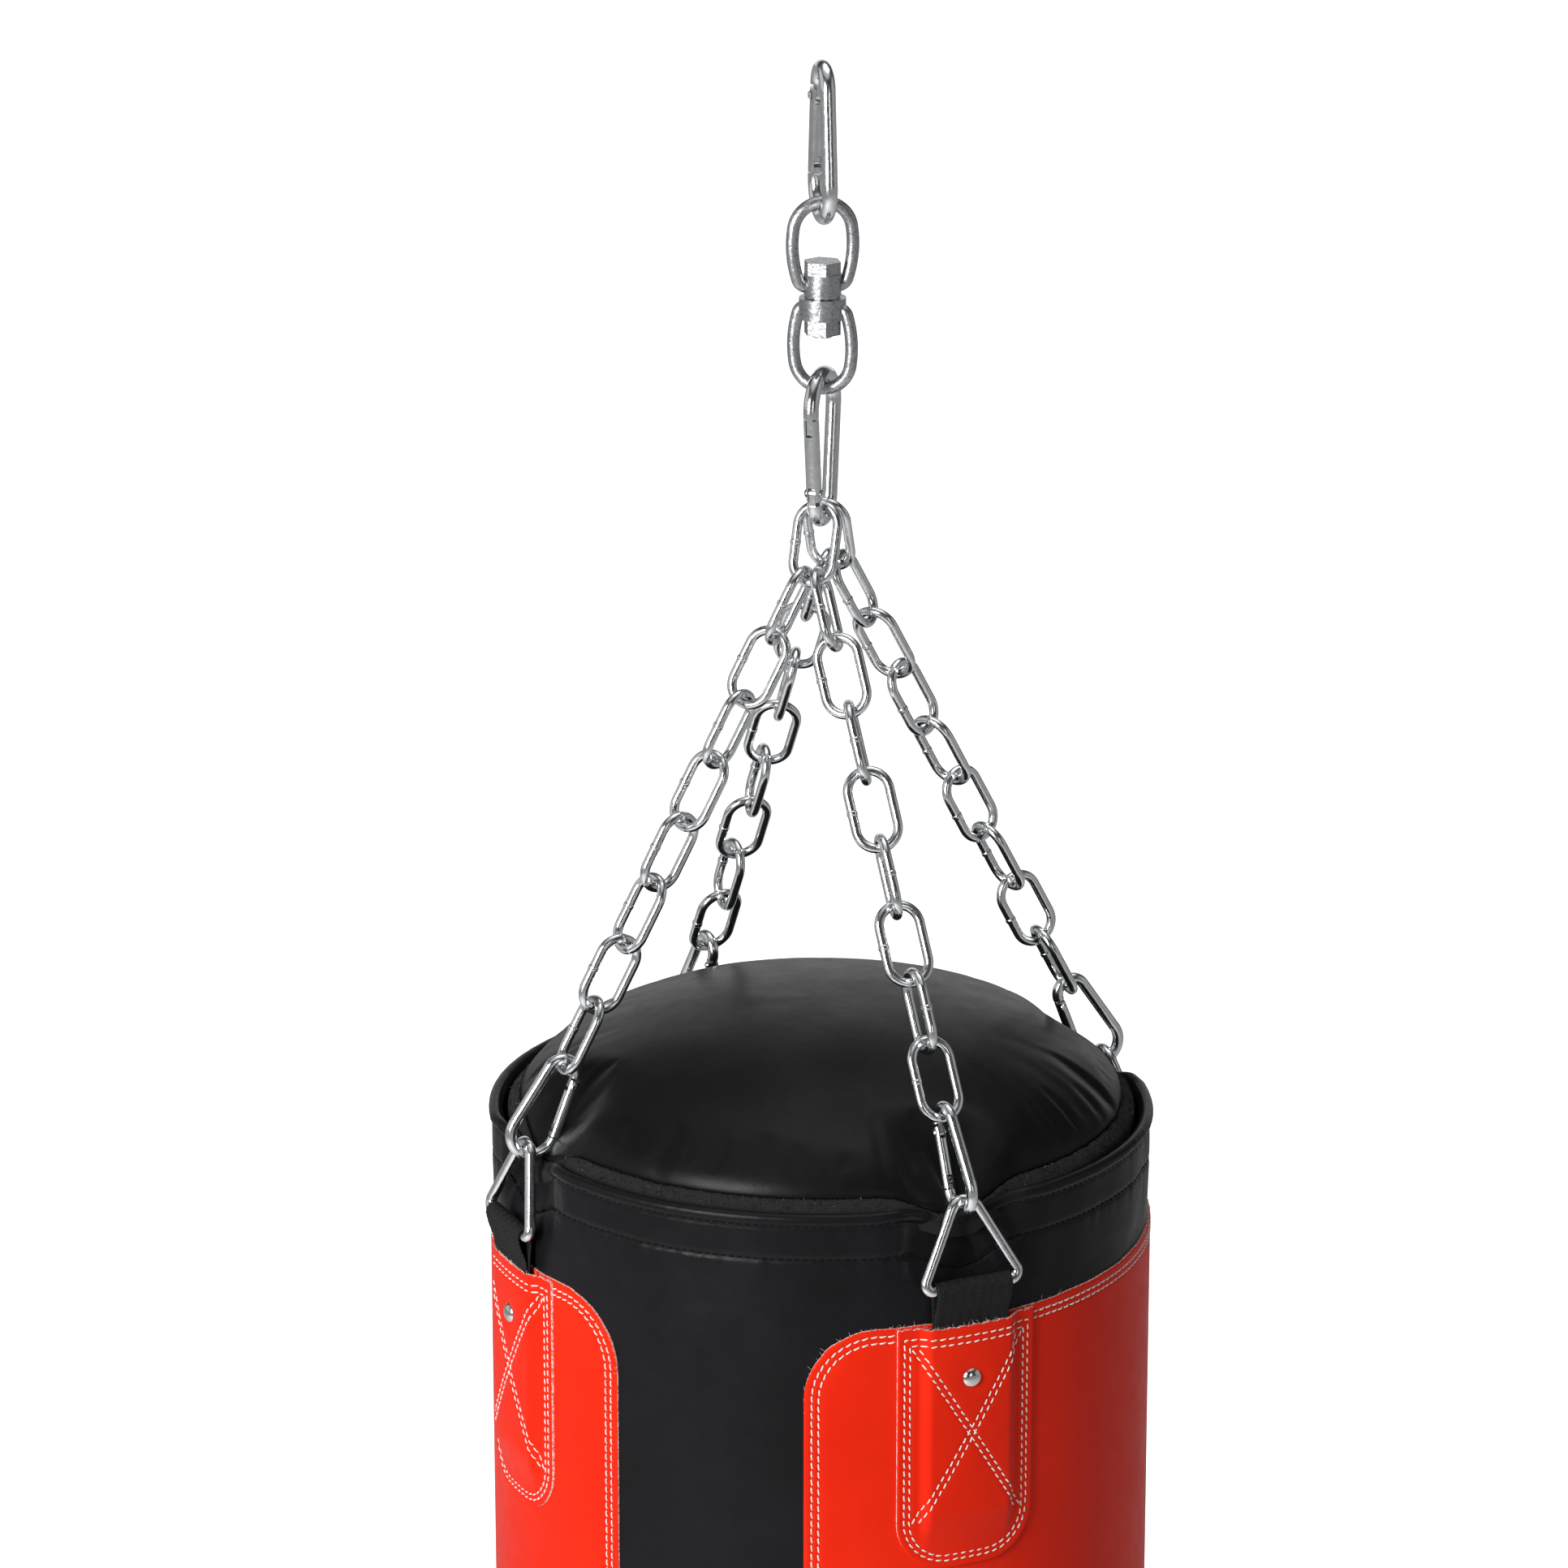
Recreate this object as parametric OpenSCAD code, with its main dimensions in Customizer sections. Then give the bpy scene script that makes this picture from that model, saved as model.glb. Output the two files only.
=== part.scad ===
// Hanging punching bag with a four-leg chain harness, swivel and snap hooks.
// Millimetres, +Z up. Origin: the point where the top snap hook hangs from its ceiling eye.
// -Y is the front (middle of a black stripe); the four legs leave at 45 degrees to the axes.

/* [Bag] */
// Outside diameter of the bag over the red panels
bag_d = 350; // [340:1:356]
// Height of the bag from its flat base to the top of the stand-up collar
bag_h = 1000; // [800:10:1400]
// Height of the crowned top cover above the collar's top edge
dome_h = 55; // [45:1:60]
// Distance from the collar's top edge down to the red panels' top edge
panel_drop = 62; // [58:1:66]
// Width of the black stripe between the red panels, in degrees of the bag's circumference
stripe_deg = 34; // [24:1:44]
// Corner radius of the red panels
panel_corner_r = 38; // [30:1:52]
// Distance between the panels' lower edge and the base
panel_base_gap = 62; // [40:1:90]
// Thickness of the coated-fabric panels and tabs
sheet_t = 1.5; // [1.2:0.1:1.6]

/* [Webbing and tabs] */
// Width of the webbing straps
strap_w = 42; // [38:1:42]
// Thickness of one layer of webbing
strap_t = 1.5; // [1.3:0.1:1.5]
// Width of the stitched tabs
tab_w = 77; // [72:1:80]
// Height of the stitched tabs
tab_h = 133; // [120:1:140]
// Radius of the tabs' lower corners
tab_corner_r = 27; // [12:1:34]
// Diameter of the tab rivets' domed heads
rivet_d = 12; // [10:0.1:13]

/* [Snap hooks] */
// Wire diameter of the two large snap hooks
hook_wire = 8; // [7.6:0.1:8]
// Outside length of the two large snap hooks
hook_len = 84; // [82:1:88]
// Wire diameter of the four corner snap hooks
snap_wire = 6; // [5.8:0.1:6]
// Outside length of the four corner snap hooks
snap_len = 60; // [59:1:61]
// Direction of the top hook's plane, in degrees from +X
top_hook_dir = 122; // [110:1:130]

/* [Swivel] */
// Overall length of the swivel over both eyes
swivel_len = 103; // [102:1:106]
// Outside width of both swivel eyes
eye_w = 38; // [37.5:0.5:39]
// Wire diameter of both swivel eyes
eye_wire = 6.6; // [6.4:0.1:6.8]
// Hexagon size across flats of the swivel bolt and nut
hex_af = 17; // [16:0.5:17]

/* [Chain and rings] */
// Wire diameter of the chain links
link_wire = 5; // [4.8:0.1:5]
// Inside length of one chain link
link_in = 35.4; // [35:0.1:36]
// Outside width of one chain link
link_w = 26.5; // [26:0.1:27]
// Tilt of the two shared master links away from plumb
master_tilt = 21; // [20:0.5:22]
// Wire diameter of the triangle rings
ring_wire = 6; // [5.8:0.1:6]
// Outside height of the triangle rings
ring_h = 49.8; // [49:0.1:51]
// Lean of the triangle rings towards the bag's axis
ring_lean = 14; // [13:0.5:15]

/* [Hidden] */

$fn = 64;
gap = 0.2;
steel = "lightsteelblue";
black = [0.12, 0.12, 0.13];
red = [0.85, 0.12, 0.06];

// ---- small vector helpers ----
function unit(v) = v / norm(v);
function clamp01(x) = min(1, max(0, x));
function smooth(x) = let (c = clamp01(x)) c * c * (3 - 2 * c);

// places children's x, y and z axes along p, q and p x q, with their origin at o
module frame_at(o, p, q) {
  n = cross(p, q);
  multmatrix([[p.x, q.x, n.x, o.x], [p.y, q.y, n.y, o.y], [p.z, q.z, n.z, o.z], [0, 0, 0, 1]])
    children();
}

// round bar between two points of the XY plane
module rod(a, b, r) {
  d = b - a;
  translate([a.x, a.y, 0]) rotate([0, 0, atan2(d.y, d.x)]) rotate([0, 90, 0])
    cylinder(r = r, h = norm(d));
}

// the same bar a hair thinner and run into what it joins, so that the two fuse cleanly
root = 0.4;
step_in = 0.03;
module rooted_rod(a, b, r) {
  d = root * unit(b - a);
  rod(a - d, b + d, r - step_in);
}

// bent round bar in the XY plane: centre c, centre-line radius a, from angle a0 through sweep
module bend(c, a, r, a0, sweep) {
  translate([c.x, c.y, 0]) rotate([0, 0, a0]) rotate_extrude(angle = sweep)
    translate([a, 0]) circle(r = r);
}

// ---- snap hooks: drawn in the XY plane, y up, narrow end on top, gate on +x ----
// The origin is on the inside of the narrow end, where the hook bears.
// h = [wire radius, length, outside width, narrow outside width]
big_hook = [hook_wire / 2, hook_len, hook_len / 2, 31];
small_hook = [snap_wire / 2, snap_len, snap_len / 2, 22];
gate_open = 24;
function hook_an(h) = h[3] / 2 - h[0];
function hook_aw(h) = h[2] / 2 - h[0];
function hook_yn(h) = h[0] - hook_an(h);
function hook_yw(h) = 3 * h[0] - h[1] + hook_aw(h);
function hook_lean(h) = asin((hook_aw(h) - hook_an(h)) / (hook_yn(h) - hook_yw(h)));
function hook_inner(h) = h[1] - 4 * h[0];
function gate_len(h) = (hook_yn(h) - hook_yw(h)) * cos(hook_lean(h));
function gate_start(h) = let (d = hook_lean(h)) [hook_an(h) * cos(d), hook_yn(h) + hook_an(h) * sin(d)];
function gate_pivot_s(h) = 1.5 * h[0];
tongue_k = 0.8;

// runs children along the gate line: x is the outside normal, y points from narrow to wide end
module on_gate_line(h) {
  d = hook_lean(h);
  s = gate_start(h);
  frame_at([s.x, s.y, 0], [cos(d), sin(d), 0], [sin(d), -cos(d), 0]) children();
}

module hinge_tongue(h) {
  w = h[0];
  ps = gate_pivot_s(h);
  difference() {
    union() {
      translate([-tongue_k * w, -root, -0.4 * w]) cube([2 * tongue_k * w, ps + root, 0.8 * w]);
      translate([0, ps, -0.4 * w]) cylinder(r = tongue_k * w, h = 0.8 * w);
    }
    translate([0, ps, -w]) cylinder(r = 0.4 * w + 0.02, h = 2 * w);
  }
}

module nose_tongue(h) {
  w = h[0];
  g = gate_len(h);
  difference() {
    translate([-0.7 * w, g - 2.2 * w, -0.4 * w]) cube([1.4 * w, 2.2 * w + root, 0.8 * w]);
    translate([0, g - 1.3 * w, -w]) cylinder(r = 0.38 * w, h = 2 * w);
    translate([-2 * w, g - 1.68 * w, -w]) cube([2 * w, 0.76 * w, 2 * w]);
  }
}

module hook_body(h) {
  w = h[0];
  d = hook_lean(h);
  an = hook_an(h);
  aw = hook_aw(h);
  color(steel) {
    bend([0, hook_yn(h)], an, w, d, 180 - 2 * d);
    bend([0, hook_yw(h)], aw, w, 180 - d, 180 + 2 * d);
    rooted_rod([-an * cos(d), hook_yn(h) + an * sin(d)], [-aw * cos(d), hook_yw(h) + aw * sin(d)], w);
    on_gate_line(h) {
      hinge_tongue(h);
      nose_tongue(h);
    }
  }
}

module hook_gate(h) {
  w = h[0];
  g = gate_len(h);
  ps = gate_pivot_s(h);
  y0 = 0.55 * w;
  slot = 0.8 * w + 0.5;
  color(steel) on_gate_line(h) {
    difference() {
      translate([0, y0, 0]) rotate([-90, 0, 0]) cylinder(r = w, h = g - 0.27 * w - y0);
      translate([-2 * w, 0, -slot / 2]) cube([4 * w, ps + tongue_k * w + 0.7, slot]);
      translate([-2 * w, g - 2.2 * w - 0.8, -slot / 2]) cube([4 * w, 3 * w, slot]);
      translate([0, ps, -2 * w]) cylinder(r = 0.4 * w + 0.1, h = 4 * w);
      translate([0, ps, 0]) rotate([-90, 0, 0]) cylinder(r = 0.42 * w, h = 5.4 * w);
    }
    translate([0, g - 1.3 * w, -0.9 * w]) cylinder(r = 0.27 * w, h = 1.8 * w);
  }
}

module hook_rivet(h) {
  w = h[0];
  color(steel) on_gate_line(h) translate([0, gate_pivot_s(h), 0]) {
    translate([0, 0, -w - 0.1]) cylinder(r = 0.4 * w, h = 2 * w + 0.2);
    for (m = [0, 1]) mirror([0, 0, m]) translate([0, 0, w + 0.1]) {
      cylinder(r1 = 0.6 * w, r2 = 0.4 * w, h = 0.2 * w);
    }
  }
}

module hook_spring(h) {
  w = h[0];
  color("gray") on_gate_line(h) translate([0, gate_pivot_s(h) + tongue_k * w + 1, 0])
    rotate([-90, 0, 0]) cylinder(r = 0.36 * w, h = 4.2 * w);
}

// ---- top hook ----
module top_hook_place() rotate([0, 0, top_hook_dir]) rotate([90, 0, 0]) children();
module top_hook_body() top_hook_place() hook_body(big_hook);
module top_hook_gate() top_hook_place() hook_gate(big_hook);
module top_hook_rivet() top_hook_place() hook_rivet(big_hook);
module top_hook_spring() top_hook_place() hook_spring(big_hook);

// ---- swivel ----
eye_r = eye_wire / 2;
eye_a = eye_w / 2 - eye_r;
eye_wide_at = 25;
eye_side_r = 58;
eye_turn_r = 5;
eye_top = -hook_inner(big_hook) + gap + eye_wire;
eye_dir = top_hook_dir - 90;
hex_r = hex_af / 2 / cos(30);
head_h = 6.4;
washer_h = 2;
boss_h = 9;
boss_r = 9.5;
thrust_h = 1;
collar_h = 10.7;
collar_r = 12;
run_gap = 0.3;
nut_h = 8;
bolt_r = 5;
boss_top = eye_top - 42;
boss_bot = boss_top - boss_h;
housing_top = boss_bot - thrust_h - run_gap;
housing_bot = housing_top - collar_h;
nut_top = housing_bot - run_gap;
eye_bot = eye_top - swivel_len;

// One oval eye loop, its apex at the origin and the eye below it. drop is how far below the apex
// the wire's centre line runs into the boss. Three tangent radii make the oval: top, side and turn.
module eye_loop(drop) {
  wide = eye_wide_at - eye_r;
  side_x = eye_a - eye_side_r;
  top_r = (pow(eye_side_r, 2) - pow(side_x, 2) - pow(wide, 2)) / (2 * (eye_side_r - wide));
  top_y = wide - top_r;
  top_deg = atan2(top_y, -side_x);
  turn_y = drop - wide - eye_turn_r;
  turn_x = side_x + sqrt(pow(eye_side_r - eye_turn_r, 2) - pow(turn_y, 2));
  turn_deg = asin(turn_y / (eye_side_r - eye_turn_r));
  reach = root / eye_side_r * 180 / PI;
  translate([0, -wide, 0]) {
    bend([0, top_y], top_r, eye_r, top_deg, 180 - 2 * top_deg);
    for (m = [0, 1]) mirror([m, 0, 0]) {
      bend([side_x, 0], eye_side_r, eye_r - step_in, -turn_deg - reach, turn_deg + top_deg + 2 * reach);
      bend([turn_x, -turn_y], eye_turn_r, eye_r, -90, 90 - turn_deg);
    }
  }
}

module swivel_upper_eye() {
  mid = boss_top - boss_h / 2;
  color(steel) rotate([0, 0, eye_dir]) difference() {
    union() {
      translate([0, 0, eye_top - eye_r]) rotate([90, 0, 0]) eye_loop(eye_top - eye_r - mid);
      translate([0, 0, boss_bot]) cylinder(r = boss_r, h = boss_h);
    }
    translate([0, 0, boss_bot - 5]) cylinder(r = bolt_r + 0.05, h = boss_h + 10);
  }
}

module swivel_bolt() color(steel) {
  translate([0, 0, boss_top + washer_h]) cylinder(r = hex_r, h = head_h, $fn = 6);
  translate([0, 0, nut_top - nut_h - 1.5])
    cylinder(r = bolt_r, h = boss_top + washer_h - nut_top + nut_h + 1.5);
}

module flat_washer(z, r_out, h) {
  translate([0, 0, z]) difference() {
    cylinder(r = r_out, h = h);
    translate([0, 0, -1]) cylinder(r = bolt_r + 0.05, h = h + 2);
  }
}

module swivel_head_washer() color(steel) flat_washer(boss_top, 9.6, washer_h);
module swivel_thrust_washer() color("gold") flat_washer(boss_bot - thrust_h, 9, thrust_h);

module swivel_nut() color(steel) translate([0, 0, nut_top - nut_h]) difference() {
  cylinder(r = hex_r, h = nut_h, $fn = 6);
  translate([0, 0, -1]) cylinder(r = bolt_r + 0.05, h = nut_h + 2);
}

module swivel_lower_eye() {
  mid = housing_top - collar_h / 2;
  bush_r = 6.6;
  color(steel) difference() {
    union() {
      translate([0, 0, eye_bot + eye_r]) rotate([-90, 0, 0]) eye_loop(mid - eye_bot - eye_r);
      translate([0, 0, housing_bot]) cylinder(r = collar_r, h = collar_h);
    }
    translate([0, 0, housing_bot - 5]) cylinder(r = bush_r, h = collar_h + 10);
  }
}

module swivel_bush() color("gold") translate([0, 0, housing_bot]) difference() {
  cylinder(r = 6.58, h = collar_h);
  translate([0, 0, -1]) cylinder(r = bolt_r + 0.08, h = collar_h + 2);
}

// ---- lower hook: wide end up, plane YZ, gate to the front ----
lower_hook_top = eye_bot + eye_wire + gap;
lower_hook_in = lower_hook_top - hook_inner(big_hook);
module lower_hook_place() translate([0, 0, lower_hook_in]) frame_at([0, 0, 0], [0, -1, 0], [0, 0, -1])
  children();
module lower_hook_body() lower_hook_place() hook_body(big_hook);
module lower_hook_gate() lower_hook_place() hook_gate(big_hook);
module lower_hook_rivet() lower_hook_place() hook_rivet(big_hook);
module lower_hook_spring() lower_hook_place() hook_spring(big_hook);

// ---- chain links: drawn in the XY plane, long axis y, centred ----
link_r = link_wire / 2;
link_a = link_w / 2 - link_r;
link_half = link_in / 2 + link_r;
link_pitch = link_in - gap;
module link() {
  s = link_half - link_a;
  bend([0, s], link_a, link_r, 0, 180);
  bend([0, -s], link_a, link_r, 180, 180);
  for (m = [0, 1]) mirror([m, 0, 0]) rod([link_a, -s], [link_a, s], link_r);
}

// apex of the front master link's wire, and the way that it hangs
hook_bow_in = big_hook[3] / 2 - 2 * big_hook[0];
master_apex = [0, -2.85, lower_hook_in + hook_bow_in - 3.5];
master_dir = [0, -sin(master_tilt), -cos(master_tilt)];
master_mid = master_apex + master_dir * link_half;
module front_master_link() color(steel) frame_at(master_mid, [1, 0, 0], -master_dir) link();
module rear_master_link() mirror([0, 1, 0]) front_master_link();

// ---- one leg, front right; the others are its mirror images ----
leg_links = 8;
leg_x = 3.15;
seat_r = link_a - link_wire - 0.25;
leg_top = master_apex + master_dir * (2 * link_half - link_a + sqrt(seat_r * seat_r - leg_x * leg_x))
  + [leg_x, 0, 0];
bar_r = bag_d / 2 + 3.5;
ring_r = ring_wire / 2;
ring_reach = ring_h - ring_r - ring_wire;
radial = [sqrt(0.5), -sqrt(0.5), 0];
tangent = [sqrt(0.5), sqrt(0.5), 0];
catch_r = bar_r - ring_reach * sin(ring_lean);
leg_len = link_half + (leg_links - 1) * link_pitch + link_in / 2 - gap + hook_inner(small_hook) - gap;
leg_run = [catch_r * radial.x - leg_top.x, catch_r * radial.y - leg_top.y, 0];
leg_drop = sqrt(leg_len * leg_len - leg_run * leg_run);
u = unit([leg_run.x, leg_run.y, -leg_drop]);
side = unit([-u.y, u.x, 0]);
outward = cross(u, side);
catch_z = leg_top.z - leg_drop;
bar_z = catch_z - ring_reach * cos(ring_lean);
// the first link stands across the master link; the last lies across the snap hook
first_normal = unit([1, 0, 0] - u.x * u);
first_across = cross(first_normal, u);
first_turn = atan2(first_across * outward, first_across * side);
full_turns = (leg_links - 1) * 90;
twist = ((first_turn - full_turns) % 180 + 180) % 180;
twist_step = (twist > 90 ? twist - 180 : twist) / (leg_links - 1);
module chain_leg() color(steel) for (k = [0 : leg_links - 1]) {
  turn = (leg_links - 1 - k) * (90 + twist_step);
  frame_at(leg_top + u * (link_half + k * link_pitch), cos(turn) * side + sin(turn) * outward, -u) link();
}

snap_top = leg_top + u * (link_half + (leg_links - 1) * link_pitch + link_in / 2 - gap);
module snap_place() frame_at(snap_top, -outward, -u) children();

// ---- triangle ring: base bar along x, apex up; the origin is the middle of the bar ----
ring_half = 25.5;
ring_corner = 4;
ring_apex_r = 8.5;
module triangle_ring() {
  c1 = [ring_half - ring_corner, ring_corner];
  c2 = [0, ring_reach + ring_r - ring_apex_r];
  d = c2 - c1;
  n = atan2(d.y, d.x) - acos((ring_corner - ring_apex_r) / norm(d));
  nv = [cos(n), sin(n)];
  rooted_rod([-c1.x, 0], [c1.x, 0], ring_r);
  bend(c2, ring_apex_r, ring_r, n, 180 - 2 * n);
  for (m = [0, 1]) mirror([m, 0, 0]) {
    bend(c1, ring_corner, ring_r, -90, 90 + n);
    rooted_rod(c1 + ring_corner * nv, c2 + ring_apex_r * nv, ring_r);
  }
}
module ring() color(steel)
  frame_at(bar_r * radial + [0, 0, bar_z], tangent, cos(ring_lean) * [0, 0, 1] - sin(ring_lean) * radial)
    triangle_ring();

// ---- levels and radii of the bag ----
lip_z = bar_z + 42;
panel_top = lip_z - panel_drop;
base_z = lip_z - bag_h;
bag_r = bag_d / 2;
shell_r = bag_r - sheet_t;
shell_in = shell_r - 2;
tab_top = panel_top - 1;
strap_plane = bag_r + 0.2;
tab_plane = strap_plane + 2 * strap_t + 0.2;

// lays children in the corner's own frame: x along the tangent, y outwards from the axis, z up
module at_corner() frame_at([0, 0, 0], -tangent, radial) children();

// ---- webbing strap: looped round the ring's bar, both ends under the tab ----
module strap_loop() {
  inner = strap_plane - bar_r;
  loop_in = ring_r + 0.15;
  loop_out = loop_in + strap_t;
  difference() {
    union() {
      cylinder(r = loop_out, h = strap_w);
      linear_extrude(height = strap_w)
        polygon([[0.3 - loop_out, -0.6], [loop_out - 0.3, -0.6], [inner + 2 * strap_t, -16],
                 [inner + 2 * strap_t, -tab_h], [inner, -tab_h], [inner, -16]]);
    }
    translate([0, 0, -1]) cylinder(r = loop_in, h = strap_w + 2);
  }
}
module rivet_hole(r) translate([0, 0, rivet_z]) rotate([-90, 0, 0]) cylinder(r = r, h = bag_r + 30);
rivet_z = tab_top - 29;
module strap() color(black) at_corner() difference() {
  translate([-strap_w / 2, bar_r, bar_z]) frame_at([0, 0, 0], [0, 1, 0], [0, 0, 1]) strap_loop();
  rivet_hole(2.1);
}

// ---- tab: stitched down round the strap's ends, with a raised middle ----
module tab() {
  raised_w = strap_w + 5;
  outer = tab_plane + sheet_t;
  color(red) at_corner() difference() {
    intersection() {
      union() {
        cylinder(r = bag_r + 0.1 + sheet_t, h = 4000, center = true, $fn = 180);
        translate([-raised_w / 2, 0, -3000]) cube([raised_w, outer, 4000]);
      }
      translate([-tab_w / 2, 10, tab_top - tab_h]) cube([tab_w, 400, tab_h]);
    }
    for (m = [0, 1]) mirror([m, 0, 0])
      translate([tab_w / 2 - tab_corner_r, 500, tab_top - tab_h + tab_corner_r]) rotate([90, 0, 0]) linear_extrude(height = 490) difference() {
        translate([0, -tab_corner_r - 5]) square(tab_corner_r + 5);
        circle(r = tab_corner_r);
      }
    cylinder(r = bag_r + 0.1, h = 4000, center = true, $fn = 180);
    translate([-strap_w / 2 - 0.5, 0, bar_z - tab_h - 1]) cube([strap_w + 1, tab_plane, 400]);
    rivet_hole(2.1);
  }
}

// ---- rivets: domed heads outside, plain washers inside the shell ----
module each_corner() for (mx = [0, 1], my = [0, 1]) mirror([mx, 0, 0]) mirror([0, my, 0]) at_corner()
  children();
module tab_rivets() color(steel) each_corner() {
  head_h2 = 2.2;
  cap_r = (rivet_d * rivet_d / 4 + head_h2 * head_h2) / (2 * head_h2);
  face = tab_plane + sheet_t;
  translate([0, face, rivet_z]) rotate([-90, 0, 0]) intersection() {
    cylinder(r = rivet_d / 2 + 1, h = head_h2 + 1);
    translate([0, 0, head_h2 - cap_r]) sphere(r = cap_r);
  }
  translate([0, shell_in - 2.2, rivet_z]) rotate([-90, 0, 0]) cylinder(r = 2, h = face - shell_in + 2.2);
}
module tab_rivet_washers() color(steel) each_corner() difference() {
  translate([0, shell_in - 1.6, rivet_z]) rotate([-90, 0, 0]) cylinder(r = 6, h = 1.4);
  rivet_hole(2.05);
}

// ---- soft corners: how far the collar and cover give way under each ring and hook ----
function off_corner(a) = abs(((a % 90) + 90) % 90 - 45);
function bump(a, half) = let (d = off_corner(a)) d >= half ? 0 : 0.5 * (1 + cos(180 * d / half));
ring_dent = 14;
hook_dip = 12;
dent_half = 17;
hem_t = 4;
collar_h0 = panel_drop - 0.5;
function collar_z(a, f) = lip_z - (1 - f) * collar_h0 - hook_dip * bump(a, 13) * smooth(f * 2 - 1);
function collar_out(a, f) = shell_r - 0.3 - ring_dent * bump(a, dent_half) * smooth(f * 1.5 - 0.3);
function collar_pt(a, f, t) = let (r = collar_out(a, f) - t) [r * cos(a), r * sin(a), collar_z(a, f)];
ring_steps = 96;
rise_steps = 8;

// closed band: rows of points given as [ring][step], stitched round and back
module band(rows) {
  n = len(rows);
  m = len(rows[0]);
  polyhedron(points = [for (row = rows) each row],
    faces = [for (i = [0 : n - 1], j = [0 : m - 1]) let (i2 = (i + 1) % n, j2 = (j + 1) % m)
      each [[i * m + j, i * m + j2, i2 * m + j2], [i * m + j, i2 * m + j2, i2 * m + j]]]);
}
function ring_angle(i) = i * 360 / ring_steps;
module collar() color(black) band([for (i = [0 : ring_steps - 1]) let (a = ring_angle(i))
  concat([for (k = [0 : rise_steps]) collar_pt(a, k / rise_steps, 0)],
         [for (k = [rise_steps : -1 : 0]) collar_pt(a, k / rise_steps, hem_t)])]);

// ---- top cover: crowned disc that fills the collar, hollowed a little at the four hooks ----
cover_r = 158;
cover_base = lip_z - 24;
cover_steps = 12;
function cover_edge(a) = cover_r - 4.5 * bump(a, dent_half);
function cover_z(r, a) = let (q = r / cover_r)
  lip_z + dome_h * pow(max(0, 1 - q * q), 0.8) - 15 * bump(a, 15) * smooth((r - 105) / 42);
module top_cover() {
  n = 72;
  m = cover_steps;
  top = [for (i = [0 : n - 1]) let (a = i * 360 / n) each [for (k = [1 : m]) let (r = cover_edge(a) * k / m)
    [r * cos(a), r * sin(a), cover_z(cover_r * k / m, a)]]];
  low = [for (i = [0 : n - 1]) let (a = i * 360 / n, r = cover_edge(a))
    [r * cos(a), r * sin(a), cover_base]];
  mid_top = n * m + n;
  mid_low = mid_top + 1;
  color(black) polyhedron(points = concat(top, low, [[0, 0, cover_z(0, 0)], [0, 0, cover_base]]),
    faces = [for (i = [0 : n - 1]) let (i2 = (i + 1) % n, b = n * m)
      each concat([[mid_top, i2 * m, i * m], [mid_low, b + i, b + i2],
                   [i * m + m - 1, i2 * m + m - 1, b + i2], [i * m + m - 1, b + i2, b + i]],
        [for (k = [0 : m - 2], h = [0, 1]) h == 0
          ? [i * m + k, i2 * m + k, i2 * m + k + 1]
          : [i * m + k, i2 * m + k + 1, i * m + k + 1]])]);
}

// ---- closure tape round the foot of the cover ----
tape_h = 9;
module closure_tape() color(black) band([for (i = [0 : ring_steps - 1]) let (a = ring_angle(i),
    z = lip_z - 2 - 13.5 * bump(a, 15), r0 = cover_edge(a) + 0.4, r1 = cover_edge(a) + 2 - 0.6 * bump(a, 15))
  [[r0 * cos(a), r0 * sin(a), z - tape_h], [r1 * cos(a), r1 * sin(a), z - tape_h],
   [r1 * cos(a), r1 * sin(a), z], [r0 * cos(a), r0 * sin(a), z]]]);

// ---- side shell, panels, base and contents ----
module tube(r0, r1, z0, z1) translate([0, 0, z0]) difference() {
  cylinder(r = r1, h = z1 - z0, $fn = 180);
  translate([0, 0, -1]) cylinder(r = r0, h = z1 - z0 + 2, $fn = 180);
}
module side_shell() color(black) difference() {
  tube(shell_in, shell_r, base_z, panel_top);
  each_corner() rivet_hole(2.1);
}

// cutter that rounds one panel corner; a is the panel edge's angle, up is +1 or -1
module corner_cut(a, z, up, into) {
  r = panel_corner_r;
  half_turn = r / bag_r * 180 / PI;
  rotate([0, 0, a + into * half_turn]) translate([0, 0, z]) rotate([90, 0, 90])
    linear_extrude(height = 400) scale([into, up]) difference() {
      translate([-r - 12, -r]) square([r + 12, r + 12]);
      translate([0, -r]) circle(r = r + 0.4);
    }
}
module panel_right() {
  a0 = stripe_deg / 2 - 90;
  sweep = 180 - stripe_deg;
  low = base_z + panel_base_gap;
  color(red) difference() {
    translate([0, 0, low]) rotate([0, 0, a0]) rotate_extrude(angle = sweep, $fn = 180)
      translate([shell_r, 0]) square([sheet_t, panel_top - low]);
    corner_cut(a0, panel_top, 1, 1);
    corner_cut(a0, low, -1, 1);
    corner_cut(a0 + sweep, panel_top, 1, -1);
    corner_cut(a0 + sweep, low, -1, -1);
    each_corner() rivet_hole(2.1);
  }
}
module base_disc() color(black) translate([0, 0, base_z]) cylinder(r = shell_in, h = 3, $fn = 180);
// the padding stops below the soft corners of the collar; the filling reaches up to the cover
foam_in = 158.8;
foam_drop = 50;
module foam_layer() color("dimgray") tube(foam_in, shell_in - 2.4, base_z + 3, lip_z - foam_drop);
module filling() color("peru") translate([0, 0, base_z + 3])
  cylinder(r = foam_in - 0.3, h = cover_base - 1 - base_z - 3, $fn = 180);

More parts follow.
